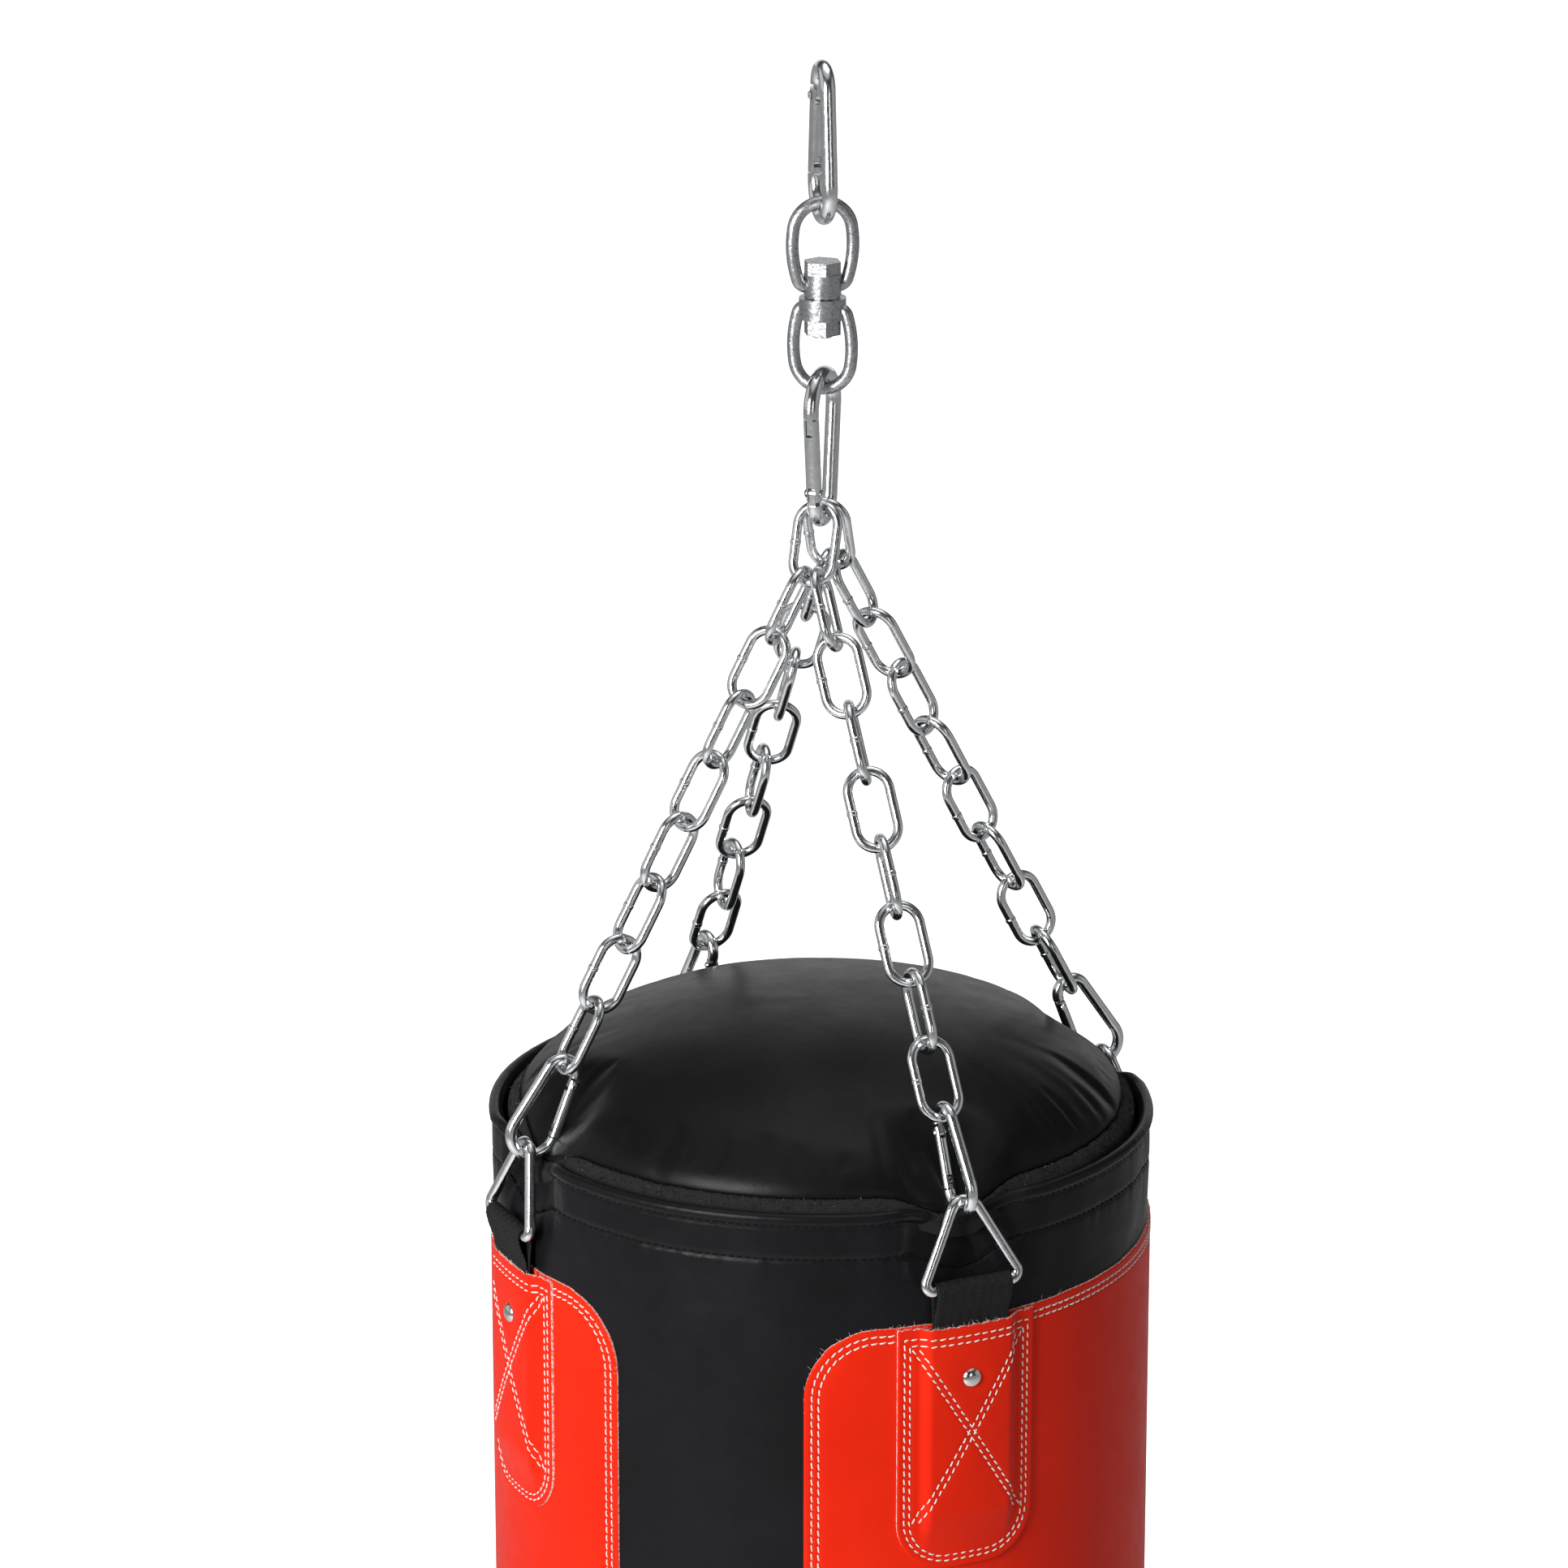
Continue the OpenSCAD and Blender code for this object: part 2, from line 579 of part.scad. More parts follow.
top_hook_body();
top_hook_gate();
top_hook_rivet();
top_hook_spring();
swivel_upper_eye();
swivel_bolt();
swivel_head_washer();
swivel_thrust_washer();
swivel_nut();
swivel_lower_eye();
swivel_bush();
lower_hook_body();
lower_hook_gate();
lower_hook_rivet();
lower_hook_spring();
front_master_link();
rear_master_link();
chain_leg();  // chain_front_right
mirror([1, 0, 0]) chain_leg();  // chain_front_left
mirror([0, 1, 0]) chain_leg();  // chain_rear_right
mirror([1, 0, 0]) mirror([0, 1, 0]) chain_leg();  // chain_rear_left
snap_place() hook_body(small_hook);  // snap_body_front_right
mirror([1, 0, 0]) snap_place() hook_body(small_hook);  // snap_body_front_left
mirror([0, 1, 0]) snap_place() hook_body(small_hook);  // snap_body_rear_right
mirror([1, 0, 0]) mirror([0, 1, 0]) snap_place() hook_body(small_hook);  // snap_body_rear_left
snap_place() hook_gate(small_hook);  // snap_gate_front_right
mirror([1, 0, 0]) snap_place() hook_gate(small_hook);  // snap_gate_front_left
mirror([0, 1, 0]) snap_place() hook_gate(small_hook);  // snap_gate_rear_right
mirror([1, 0, 0]) mirror([0, 1, 0]) snap_place() hook_gate(small_hook);  // snap_gate_rear_left
snap_place() hook_rivet(small_hook);  // snap_rivet_front_right
mirror([1, 0, 0]) snap_place() hook_rivet(small_hook);  // snap_rivet_front_left
mirror([0, 1, 0]) snap_place() hook_rivet(small_hook);  // snap_rivet_rear_right
mirror([1, 0, 0]) mirror([0, 1, 0]) snap_place() hook_rivet(small_hook);  // snap_rivet_rear_left
ring();  // ring_front_right
mirror([1, 0, 0]) ring();  // ring_front_left
mirror([0, 1, 0]) ring();  // ring_rear_right
mirror([1, 0, 0]) mirror([0, 1, 0]) ring();  // ring_rear_left
strap();  // strap_front_right
mirror([1, 0, 0]) strap();  // strap_front_left
mirror([0, 1, 0]) strap();  // strap_rear_right
mirror([1, 0, 0]) mirror([0, 1, 0]) strap();  // strap_rear_left
tab();  // tab_front_right
mirror([1, 0, 0]) tab();  // tab_front_left
mirror([0, 1, 0]) tab();  // tab_rear_right
mirror([1, 0, 0]) mirror([0, 1, 0]) tab();  // tab_rear_left
tab_rivets();
tab_rivet_washers();
collar();
top_cover();
closure_tape();
side_shell();
panel_right();  // red_panel_right
mirror([1, 0, 0]) panel_right();  // red_panel_left
base_disc();
foam_layer();
filling();
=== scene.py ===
# Looks for the hanging punching bag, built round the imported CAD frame.
import math
import random
import bmesh
import bpy
import numpy as np
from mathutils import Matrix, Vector


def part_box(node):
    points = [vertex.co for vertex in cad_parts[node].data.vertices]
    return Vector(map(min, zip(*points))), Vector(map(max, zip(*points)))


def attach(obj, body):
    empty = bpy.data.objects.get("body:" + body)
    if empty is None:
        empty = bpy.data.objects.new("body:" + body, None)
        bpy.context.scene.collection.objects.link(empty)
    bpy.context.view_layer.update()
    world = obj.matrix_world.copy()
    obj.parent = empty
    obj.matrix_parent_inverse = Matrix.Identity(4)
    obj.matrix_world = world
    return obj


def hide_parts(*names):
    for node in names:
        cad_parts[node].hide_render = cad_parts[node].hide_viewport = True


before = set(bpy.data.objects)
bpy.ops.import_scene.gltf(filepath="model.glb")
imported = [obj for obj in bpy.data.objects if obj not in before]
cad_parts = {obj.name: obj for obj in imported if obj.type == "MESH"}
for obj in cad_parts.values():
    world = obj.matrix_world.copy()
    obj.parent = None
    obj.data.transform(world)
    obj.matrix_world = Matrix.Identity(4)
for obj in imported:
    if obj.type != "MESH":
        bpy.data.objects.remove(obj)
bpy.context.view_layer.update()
random.seed(7)
rng = np.random.default_rng(7)
MM = 0.001

# ---------------------------------------------------------------- sizes read from the frame
def low(node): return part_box(node)[0]
def high(node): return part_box(node)[1]

SHELL_R = high("side_shell").x
PANEL_R = high("red_panel_right").x
BASE_Z = low("side_shell").z
PANEL_TOP = high("red_panel_right").z
PANEL_LOW = low("red_panel_right").z
LIP_Z = high("collar").z
COVER_TOP = high("top_cover").z
COVER_R = high("top_cover").x
DOME_H = COVER_TOP - LIP_Z
SHEET_T = PANEL_R - SHELL_R
COLLAR_H = LIP_Z - PANEL_TOP
TAB_TOP = high("tab_front_right").z
TAB_LOW = low("tab_front_right").z
STRIPE_HALF = math.asin(low("red_panel_right").x / PANEL_R)
PANEL_CORNER_R = 38 * MM
TAB_W = 77 * MM
STRAP_W = 42 * MM
CORNERS = {"front_right": -45.0, "rear_right": 45.0, "rear_left": 135.0, "front_left": -135.0}

# stitch rows, measured from the edge that they follow
ROW_1 = 4.1 * MM
ROW_2 = 7.6 * MM
HEM_ROW = 6.4 * MM
LOWER_ROW = 24.5 * MM
LIP_ROLL = 3.0 * MM


# ---------------------------------------------------------------- small maths
def smooth(x):
    c = np.clip(x, 0, 1)
    return c * c * (3 - 2 * c)


def off_corner(deg):
    return np.abs(np.mod(deg, 90) - 45)


def bump(deg, half):
    d = off_corner(deg)
    return np.where(d >= half, 0.0, 0.5 * (1 + np.cos(np.pi * np.minimum(d, half) / half)))


def waves(seed, count, low_k, high_k, z_scale):
    """A fixed sum of sines round the bag: a smooth unevenness of about -1 to 1."""
    r = np.random.default_rng(seed)
    k = r.integers(low_k, high_k, count)
    l = r.uniform(-1, 1, count) * z_scale
    p = r.uniform(0, 2 * np.pi, count)
    a = r.uniform(0.4, 1, count)
    a = a / a.sum() * 1.6

    def value(deg, z):
        t = np.radians(deg)
        return sum(a[i] * np.sin(k[i] * t + l[i] * z + p[i]) for i in range(count))
    return value


fill_waves = waves(3, 7, 1, 7, 14.0)
pucker_waves = waves(5, 9, 11, 42, 22.0)
stitch_waves = waves(17, 9, 70, 150, 0.0)
lip_waves = waves(8, 6, 2, 9, 4.0)
dome_waves = waves(13, 8, 2, 8, 10.0)
crease_waves = waves(21, 9, 30, 80, 8.0)


def wall_r(deg, z):
    """Radius of the black wall, with its dents under the rings and its puckers below the hem."""
    f = np.clip((z - PANEL_TOP) / COLLAR_H, 0, 1)
    dent = 14 * MM * bump(deg, 17) * smooth(f * 1.5 - 0.3)
    zone = smooth(f * 4) * smooth((1 - f) * 5)
    ripple = 0.55 * MM * zone * pucker_waves(deg, z)
    sway = 0.9 * MM * smooth(f * 1.4) * lip_waves(deg, z)
    fill = 0.45 * MM * fill_waves(deg, z) * (1 - smooth(f * 3)) - 0.45 * MM
    ridge = 0.9 * MM * np.exp(-((off_corner(deg) - 11.5) / 1.5) ** 2) * smooth(f * 2 - 0.5)
    return SHELL_R - 0.3 * MM * smooth(f * 5) - dent + ripple + sway + fill + ridge


def lip_z(deg):
    return LIP_Z - 12 * MM * bump(deg, 13) + 0.8 * MM * lip_waves(deg + 40, 0)


def polar(deg, r, z):
    t = np.radians(deg)
    return np.stack([r * np.cos(t), r * np.sin(t), z + 0 * r], -1)


# ---------------------------------------------------------------- mesh helpers
def new_mesh(name, verts, faces, body, materials, face_mats=None, open_sheet=False):
    mesh = bpy.data.meshes.new(name)
    mesh.from_pydata([tuple(v) for v in verts], [], faces)
    mesh.validate()
    obj = bpy.data.objects.new(name, mesh)
    bpy.context.scene.collection.objects.link(obj)
    for m in materials:
        mesh.materials.append(m)
    if face_mats is not None:
        mesh.polygons.foreach_set("material_index", face_mats)
    face_outwards(mesh, open_sheet)
    mesh.polygons.foreach_set("use_smooth", [True] * len(mesh.polygons))
    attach(obj, body)
    return obj


def face_outwards(mesh, open_sheet):
    """Makes the faces agree; an open sheet's faces look away from the bag's axis."""
    bm = bmesh.new()
    bm.from_mesh(mesh)
    if open_sheet:
        bmesh.ops.remove_doubles(bm, verts=bm.verts, dist=2e-6)
    bmesh.ops.recalc_face_normals(bm, faces=bm.faces)
    if open_sheet:
        total = sum(f.calc_area() * f.normal.dot(f.calc_center_median() * Vector((1, 1, 0)))
                    for f in bm.faces)
        if total < 0:
            bmesh.ops.reverse_faces(bm, faces=bm.faces)
    bm.to_mesh(mesh)
    bm.free()


def grid_faces(rows, cols, wrap_cols=False, flip=False, start=0):
    out = []
    last = cols if wrap_cols else cols - 1
    for i in range(rows - 1):
        for j in range(last):
            j2 = (j + 1) % cols
            here, above = start + i * cols, start + (i + 1) * cols
            q = (here + j, here + j2, above + j2, above + j)
            out.append(q[::-1] if flip else q)
    return out


class Soup:
    """Collects many small solids into one mesh."""

    def __init__(self):
        self.verts = []
        self.faces = []
        self.count = 0

    def add(self, verts, faces):
        self.verts.append(np.asarray(verts, float))
        self.faces += [tuple(self.count + i for i in f) for f in faces]
        self.count += len(verts)

    def build(self, name, body, material):
        return new_mesh(name, np.concatenate(self.verts), self.faces, body, [material])


def tube_along(points, normals, r_side, r_up, sides=6, taper=True):
    """A small tube along points; normals say which way is up from the surface."""
    p = np.asarray(points, float)
    n = np.asarray(normals, float)
    t = np.gradient(p, axis=0)
    t /= np.linalg.norm(t, axis=1)[:, None] + 1e-12
    b = np.cross(t, n)
    b /= np.linalg.norm(b, axis=1)[:, None] + 1e-12
    m = len(p)
    scale = np.ones(m)
    if taper:
        scale[0] = scale[-1] = 0.45
    verts = []
    for i in range(m):
        for k in range(sides):
            a = 2 * math.pi * k / sides
            verts.append(p[i] + scale[i] * (b[i] * r_side * math.cos(a) + n[i] * r_up * math.sin(a)))
    faces = grid_faces(m, sides, wrap_cols=True)
    faces.append(tuple(range(sides))[::-1])
    faces.append(tuple((m - 1) * sides + k for k in range(sides)))
    return verts, faces


# ---------------------------------------------------------------- shader helpers
def material(name):
    m = bpy.data.materials.new(name)
    m.use_nodes = True
    nt = m.node_tree
    return m, nt, nt.nodes["Principled BSDF"]


def node(nt, kind, **values):
    n = nt.nodes.new(kind)
    for k, v in values.items():
        if k in n.inputs:
            n.inputs[k].default_value = v
        else:
            setattr(n, k, v)
    return n


def object_coords(nt, scale):
    tc = node(nt, "ShaderNodeTexCoord")
    mp = node(nt, "ShaderNodeMapping")
    mp.inputs["Scale"].default_value = scale
    nt.links.new(tc.outputs["Object"], mp.inputs["Vector"])
    return mp.outputs["Vector"]


def ramp(nt, fac, stops):
    r = node(nt, "ShaderNodeValToRGB")
    e = r.color_ramp.elements
    while len(e) < len(stops):
        e.new(0.5)
    for i, (pos, col) in enumerate(stops):
        e[i].position = pos
        e[i].color = (*col, 1) if len(col) == 3 else col
    nt.links.new(fac, r.inputs["Fac"])
    return r.outputs["Color"]


def noise(nt, vec, scale, detail=4.0, rough=0.55):
    n = node(nt, "ShaderNodeTexNoise", Scale=scale, Detail=detail, Roughness=rough)
    nt.links.new(vec, n.inputs["Vector"])
    return n.outputs["Fac"]


def bump_node(nt, height, strength, distance, normal=None):
    b = node(nt, "ShaderNodeBump", Strength=strength, Distance=distance)
    nt.links.new(height, b.inputs["Height"])
    if normal is not None:
        nt.links.new(normal, b.inputs["Normal"])
    return b.outputs["Normal"]


def grey(v):
    return (v, v, v)


def coated_sheet(name, deep, light, rough_low, rough_high, grain=0.10, spec=0.35):
    """Coated fabric: fine pebbled grain, cloudy colour and a soft gloss that varies."""
    m, nt, bsdf = material(name)
    vec = object_coords(nt, (1, 1, 1))
    cloud = noise(nt, vec, 14, 5)
    col = ramp(nt, cloud, [(0.3, deep), (0.7, light)])
    nt.links.new(col, bsdf.inputs["Base Color"])
    scuff = noise(nt, vec, 60, 8, 0.65)
    nt.links.new(ramp(nt, scuff, [(0.3, grey(rough_low)), (0.75, grey(rough_high))]),
                 bsdf.inputs["Roughness"])
    cells = node(nt, "ShaderNodeTexVoronoi", Scale=1100.0)
    cells.feature = "SMOOTH_F1"
    nt.links.new(vec, cells.inputs["Vector"])
    fine = bump_node(nt, cells.outputs["Distance"], grain, 0.0004)
    broad = noise(nt, vec, 90, 6, 0.6)
    nt.links.new(bump_node(nt, broad, 0.12, 0.0012, fine), bsdf.inputs["Normal"])
    bsdf.inputs["Specular IOR Level"].default_value = spec
    return m


def make_black_sheet():
    return coated_sheet("black_coated_sheet", (0.0045, 0.0045, 0.0053), (0.0075, 0.0075, 0.009),
                        0.30, 0.44, 0.16, 0.13)


def make_cover_sheet():
    return coated_sheet("cover_coated_sheet", (0.0035, 0.0035, 0.0038), (0.0055, 0.0055, 0.0058),
                        0.32, 0.42, 0.08, 0.13)


def make_red_sheet():
    return coated_sheet("red_coated_sheet", (0.64, 0.014, 0.002), (0.72, 0.019, 0.003),
                        0.36, 0.48, 0.08, 0.09)


def make_raw_edge():
    """The cut edge of the sheet, where its pale textile backing shows."""
    m, nt, bsdf = material("raw_cut_edge")
    vec = object_coords(nt, (1, 1, 1))
    nt.links.new(ramp(nt, noise(nt, vec, 900, 4), [(0.42, (0.55, 0.10, 0.07)), (0.60, (0.80, 0.62, 0.58))]),
                 bsdf.inputs["Base Color"])
    nt.links.new(bump_node(nt, noise(nt, vec, 1800, 3), 0.6, 0.0004), bsdf.inputs["Normal"])
    bsdf.inputs["Roughness"].default_value = 0.9
    return m


def make_thread(name, deep, light):
    m, nt, bsdf = material(name)
    vec = object_coords(nt, (1, 1, 1))
    nt.links.new(ramp(nt, noise(nt, vec, 700, 4), [(0.3, deep), (0.7, light)]), bsdf.inputs["Base Color"])
    w = node(nt, "ShaderNodeTexWave", Scale=900.0, Distortion=2.0)
    nt.links.new(vec, w.inputs["Vector"])
    nt.links.new(bump_node(nt, w.outputs["Fac"], 0.5, 0.0002), bsdf.inputs["Normal"])
    bsdf.inputs["Roughness"].default_value = 0.8
    bsdf.inputs["Specular IOR Level"].default_value = 0.06
    return m


def make_webbing():
    """Coarse webbing: the yarns themselves are in the mesh, the strands in their surface here."""
    m, nt, bsdf = material("black_webbing")
    vec = object_coords(nt, (1, 1, 1))
    strands = noise(nt, vec, 2100, 4, 0.7)
    nt.links.new(bump_node(nt, strands, 0.8, 0.0005), bsdf.inputs["Normal"])
    nt.links.new(ramp(nt, strands, [(0.35, grey(0.004)), (0.62, grey(0.013)), (0.74, grey(0.05))]),
                 bsdf.inputs["Base Color"])
    bsdf.inputs["Roughness"].default_value = 0.55
    bsdf.inputs["Specular IOR Level"].default_value = 0.22
    return m


def make_tape():
    m, nt, bsdf = material("fuzzy_tape")
    vec = object_coords(nt, (1, 1, 1))
    n = noise(nt, vec, 1300, 6, 0.75)
    nt.links.new(ramp(nt, n, [(0.35, grey(0.004)), (0.62, grey(0.014)), (0.75, grey(0.06))]),
                 bsdf.inputs["Base Color"])
    nt.links.new(bump_node(nt, n, 1.0, 0.0014), bsdf.inputs["Normal"])
    bsdf.inputs["Roughness"].default_value = 0.9
    return m


def make_zinc(name, tone, rough_low, rough_high):
    """Bright plated steel: even tone, faint clouding, a slightly uneven drawn surface."""
    m, nt, bsdf = material(name)
    vec = object_coords(nt, (1, 1, 1))
    cloud = noise(nt, vec, 160, 6, 0.6)
    nt.links.new(ramp(nt, cloud, [(0.25, tuple(t * 0.84 for t in tone)), (0.7, tone)]),
                 bsdf.inputs["Base Color"])
    nt.links.new(ramp(nt, noise(nt, vec, 520, 6, 0.7), [(0.3, grey(rough_low)), (0.75, grey(rough_high))]),
                 bsdf.inputs["Roughness"])
    lumps = bump_node(nt, noise(nt, vec, 260, 3), 0.22, 0.0006)
    nt.links.new(bump_node(nt, noise(nt, vec, 1500, 4, 0.6), 0.10, 0.0002, lumps), bsdf.inputs["Normal"])
    bsdf.inputs["Metallic"].default_value = 1.0
    return m


def make_cast_zinc():
    """Plated forging: the same zinc, over a pitted and pressed surface."""
    m, nt, bsdf = material("pitted_zinc")
    vec = object_coords(nt, (1, 1, 1))
    pits = noise(nt, vec, 620, 5, 0.65)
    nt.links.new(ramp(nt, pits, [(0.30, (0.20, 0.205, 0.215)), (0.52, (0.44, 0.45, 0.465))]),
                 bsdf.inputs["Base Color"])
    nt.links.new(ramp(nt, pits, [(0.30, grey(0.40)), (0.60, grey(0.27))]), bsdf.inputs["Roughness"])
    lumps = bump_node(nt, noise(nt, vec, 170, 3), 0.35, 0.0012)
    nt.links.new(bump_node(nt, pits, 0.45, 0.0005, lumps), bsdf.inputs["Normal"])
    bsdf.inputs["Metallic"].default_value = 1.0
    return m


BLACK = make_black_sheet()
COVER = make_cover_sheet()
RED = make_red_sheet()
RAW = make_raw_edge()
WHITE_THREAD = make_thread("white_thread", (0.62, 0.60, 0.56), (0.86, 0.84, 0.80))
BLACK_THREAD = make_thread("black_thread", (0.003, 0.003, 0.003), (0.009, 0.009, 0.0095))
FRAY = make_thread("pale_fibre", (0.55, 0.42, 0.38), (0.85, 0.78, 0.74))
WEBBING = make_webbing()
TAPE = make_tape()
ZINC = make_zinc("bright_zinc", (0.76, 0.775, 0.79), 0.12, 0.24)
NICKEL = make_zinc("polished_nickel", (0.72, 0.70, 0.67), 0.08, 0.18)
BRASS = make_zinc("turned_brass", (0.72, 0.52, 0.22), 0.22, 0.38)
CAST = make_cast_zinc()
FOAM = coated_sheet("foam_padding", grey(0.10), grey(0.16), 0.8, 0.95, 0.9)
FILLING = coated_sheet("textile_filling", (0.20, 0.16, 0.12), (0.42, 0.36, 0.30), 0.85, 0.98, 0.9)


# ---------------------------------------------------------------- black wall: base, side, collar and hem
def hem_relief(deg, below):
    """The folded hem stands proud, both stitch rows pull in, and the sheet puckers along them."""
    fold = 1.0 * MM * smooth((HEM_ROW + 1.0 * MM - below) / (1.4 * MM))
    roll = 0.7 * MM * np.sin(np.clip(below / HEM_ROW, 0, 1) * np.pi)
    at_hem = np.exp(-((below - HEM_ROW) / (1.1 * MM)) ** 2)
    at_lower = np.exp(-((below - LOWER_ROW) / (1.5 * MM)) ** 2)
    near = (np.exp(-((below - LOWER_ROW - 3 * MM) / (6 * MM)) ** 2)
            + 0.7 * np.exp(-((below - HEM_ROW) / (4 * MM)) ** 2))
    pull = 0.9 * MM * at_hem + 0.7 * MM * at_lower
    return fold + roll - pull + 0.22 * MM * near * stitch_waves(deg, 0)


def build_wall():
    cols = 720
    deg = np.arange(cols) * 360 / cols
    foot = 7 * MM
    rows = []
    for r in np.linspace(0.01, 1, 10):
        rows.append(polar(deg, (wall_r(deg, BASE_Z + foot) - foot) * r, BASE_Z + 0.4 * MM * (1 - r)))
    for a in np.linspace(15, 90, 6):
        t = math.radians(a)
        rr = wall_r(deg, BASE_Z + foot) - foot + foot * math.sin(t)
        rows.append(polar(deg, rr, BASE_Z + foot - foot * math.cos(t)))
    for z in np.arange(BASE_Z + foot + 8 * MM, PANEL_TOP - 4 * MM, 9 * MM):
        rows.append(polar(deg, wall_r(deg, z), z))
    top = lip_z(deg)
    steps = 60
    for k in range(steps):
        f = (k + 0.5) / steps
        z = PANEL_TOP + (top - LIP_ROLL - PANEL_TOP) * f
        below = top - z
        r = wall_r(deg, PANEL_TOP + COLLAR_H * f)
        rows.append(polar(deg, r + hem_relief(deg, below), z))
    mid = wall_r(deg, LIP_Z) + hem_relief(deg, LIP_ROLL) - LIP_ROLL
    for a in np.linspace(12, 168, 12):
        t = math.radians(a)
        rows.append(polar(deg, mid + LIP_ROLL * math.cos(t), top - LIP_ROLL + LIP_ROLL * math.sin(t)))
    for below in np.linspace(3.6, 44, 26) * MM:
        z = top - below
        f = np.clip((z - PANEL_TOP) / COLLAR_H, 0, 1)
        tuck = 1.7 * MM * smooth((10 * MM - below) / (4 * MM))
        inner = wall_r(deg, PANEL_TOP + COLLAR_H * f) - 3.9 * MM - tuck + 0.3 * MM * pucker_waves(deg + 9, 0)
        rows.append(polar(deg, inner, z))
    verts = np.concatenate(rows)
    faces = grid_faces(len(rows), cols, wrap_cols=True)
    faces.append(tuple(range(cols))[::-1])
    wall = new_mesh("bag_wall", verts, faces, "bag", [BLACK], open_sheet=True)
    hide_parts("side_shell", "collar", "base_disc")
    return wall


def outer_point(deg, below, proud):
    """A point on the collar's outer face, a distance below the lip."""
    z = lip_z(deg) - below
    f = (z - PANEL_TOP) / (lip_z(deg) - PANEL_TOP)
    r = wall_r(deg, PANEL_TOP + COLLAR_H * f) + hem_relief(deg, below) + proud
    return polar(deg, r, z)


def round_stitches(name, below, proud, pitch, thread):
    soup = Soup()
    count = int(2 * math.pi * SHELL_R / pitch)
    for i in range(count):
        jitter = rng.uniform(-0.04, 0.04)
        d0 = (i + 0.10 + jitter) * 360 / count
        d1 = (i + 0.88 + jitter) * 360 / count
        deg = np.linspace(d0, d1, 6)
        arch = np.sin(np.linspace(0, np.pi, 6)) * 0.45 * MM - 0.35 * MM
        pts = outer_point(deg, below + rng.uniform(-0.15, 0.15) * MM, proud + arch)
        nrm = polar(deg, np.ones(6), 0 * deg)
        soup.add(*tube_along(pts, nrm, 0.42 * MM, 0.36 * MM))
    return soup.build(name, "bag", thread)


# ---------------------------------------------------------------- red panels
def on_wall(s, z, centre_deg, proud):
    deg = centre_deg + np.degrees(s / PANEL_R)
    return polar(deg, wall_r(deg, z) + proud, z)


def rounded_path(half_w, z0, z1, r, inset, n_side, n_rise, n_arc):
    """Points round a rounded rectangle, inset from its edge, always the same number on each stretch."""
    rr = max(r - inset, 0)
    xs = np.linspace(-(half_w - r), half_w - r, n_side + 1)
    zs = np.linspace(z0 + r, z1 - r, n_rise + 1)
    out = []
    arc = np.linspace(0, np.pi / 2, n_arc + 1)[1:-1]
    out += [(x, z1 - inset) for x in xs]
    out += [(half_w - r + rr * math.sin(a), z1 - r + rr * math.cos(a)) for a in arc]
    out += [(half_w - inset, z) for z in zs[::-1]]
    out += [(half_w - r + rr * math.cos(a), z0 + r - rr * math.sin(a)) for a in arc]
    out += [(x, z0 + inset) for x in xs[::-1]]
    out += [(-(half_w - r) - rr * math.sin(a), z0 + r - rr * math.cos(a)) for a in arc]
    out += [(-(half_w - inset), z) for z in zs]
    out += [(-(half_w - r) - rr * math.cos(a), z1 - r + rr * math.sin(a)) for a in arc]
    return np.array(out)


def seam_dip(d):
    """How far the sheet is pulled down at a distance d from its edge by the two stitch rows."""
    return 0.42 * MM * (np.exp(-((d - ROW_1) / (0.8 * MM)) ** 2) + np.exp(-((d - ROW_2) / (0.8 * MM)) ** 2))


PANEL_HALF = (math.pi / 2 - STRIPE_HALF) * PANEL_R


def edge_wobble(p):
    return 0.25 * MM * (np.sin(p[:, 0] * 410) + np.sin(p[:, 1] * 530 + 1)
                        + 0.7 * np.sin(p[:, 0] * 1300 + p[:, 1] * 1700))


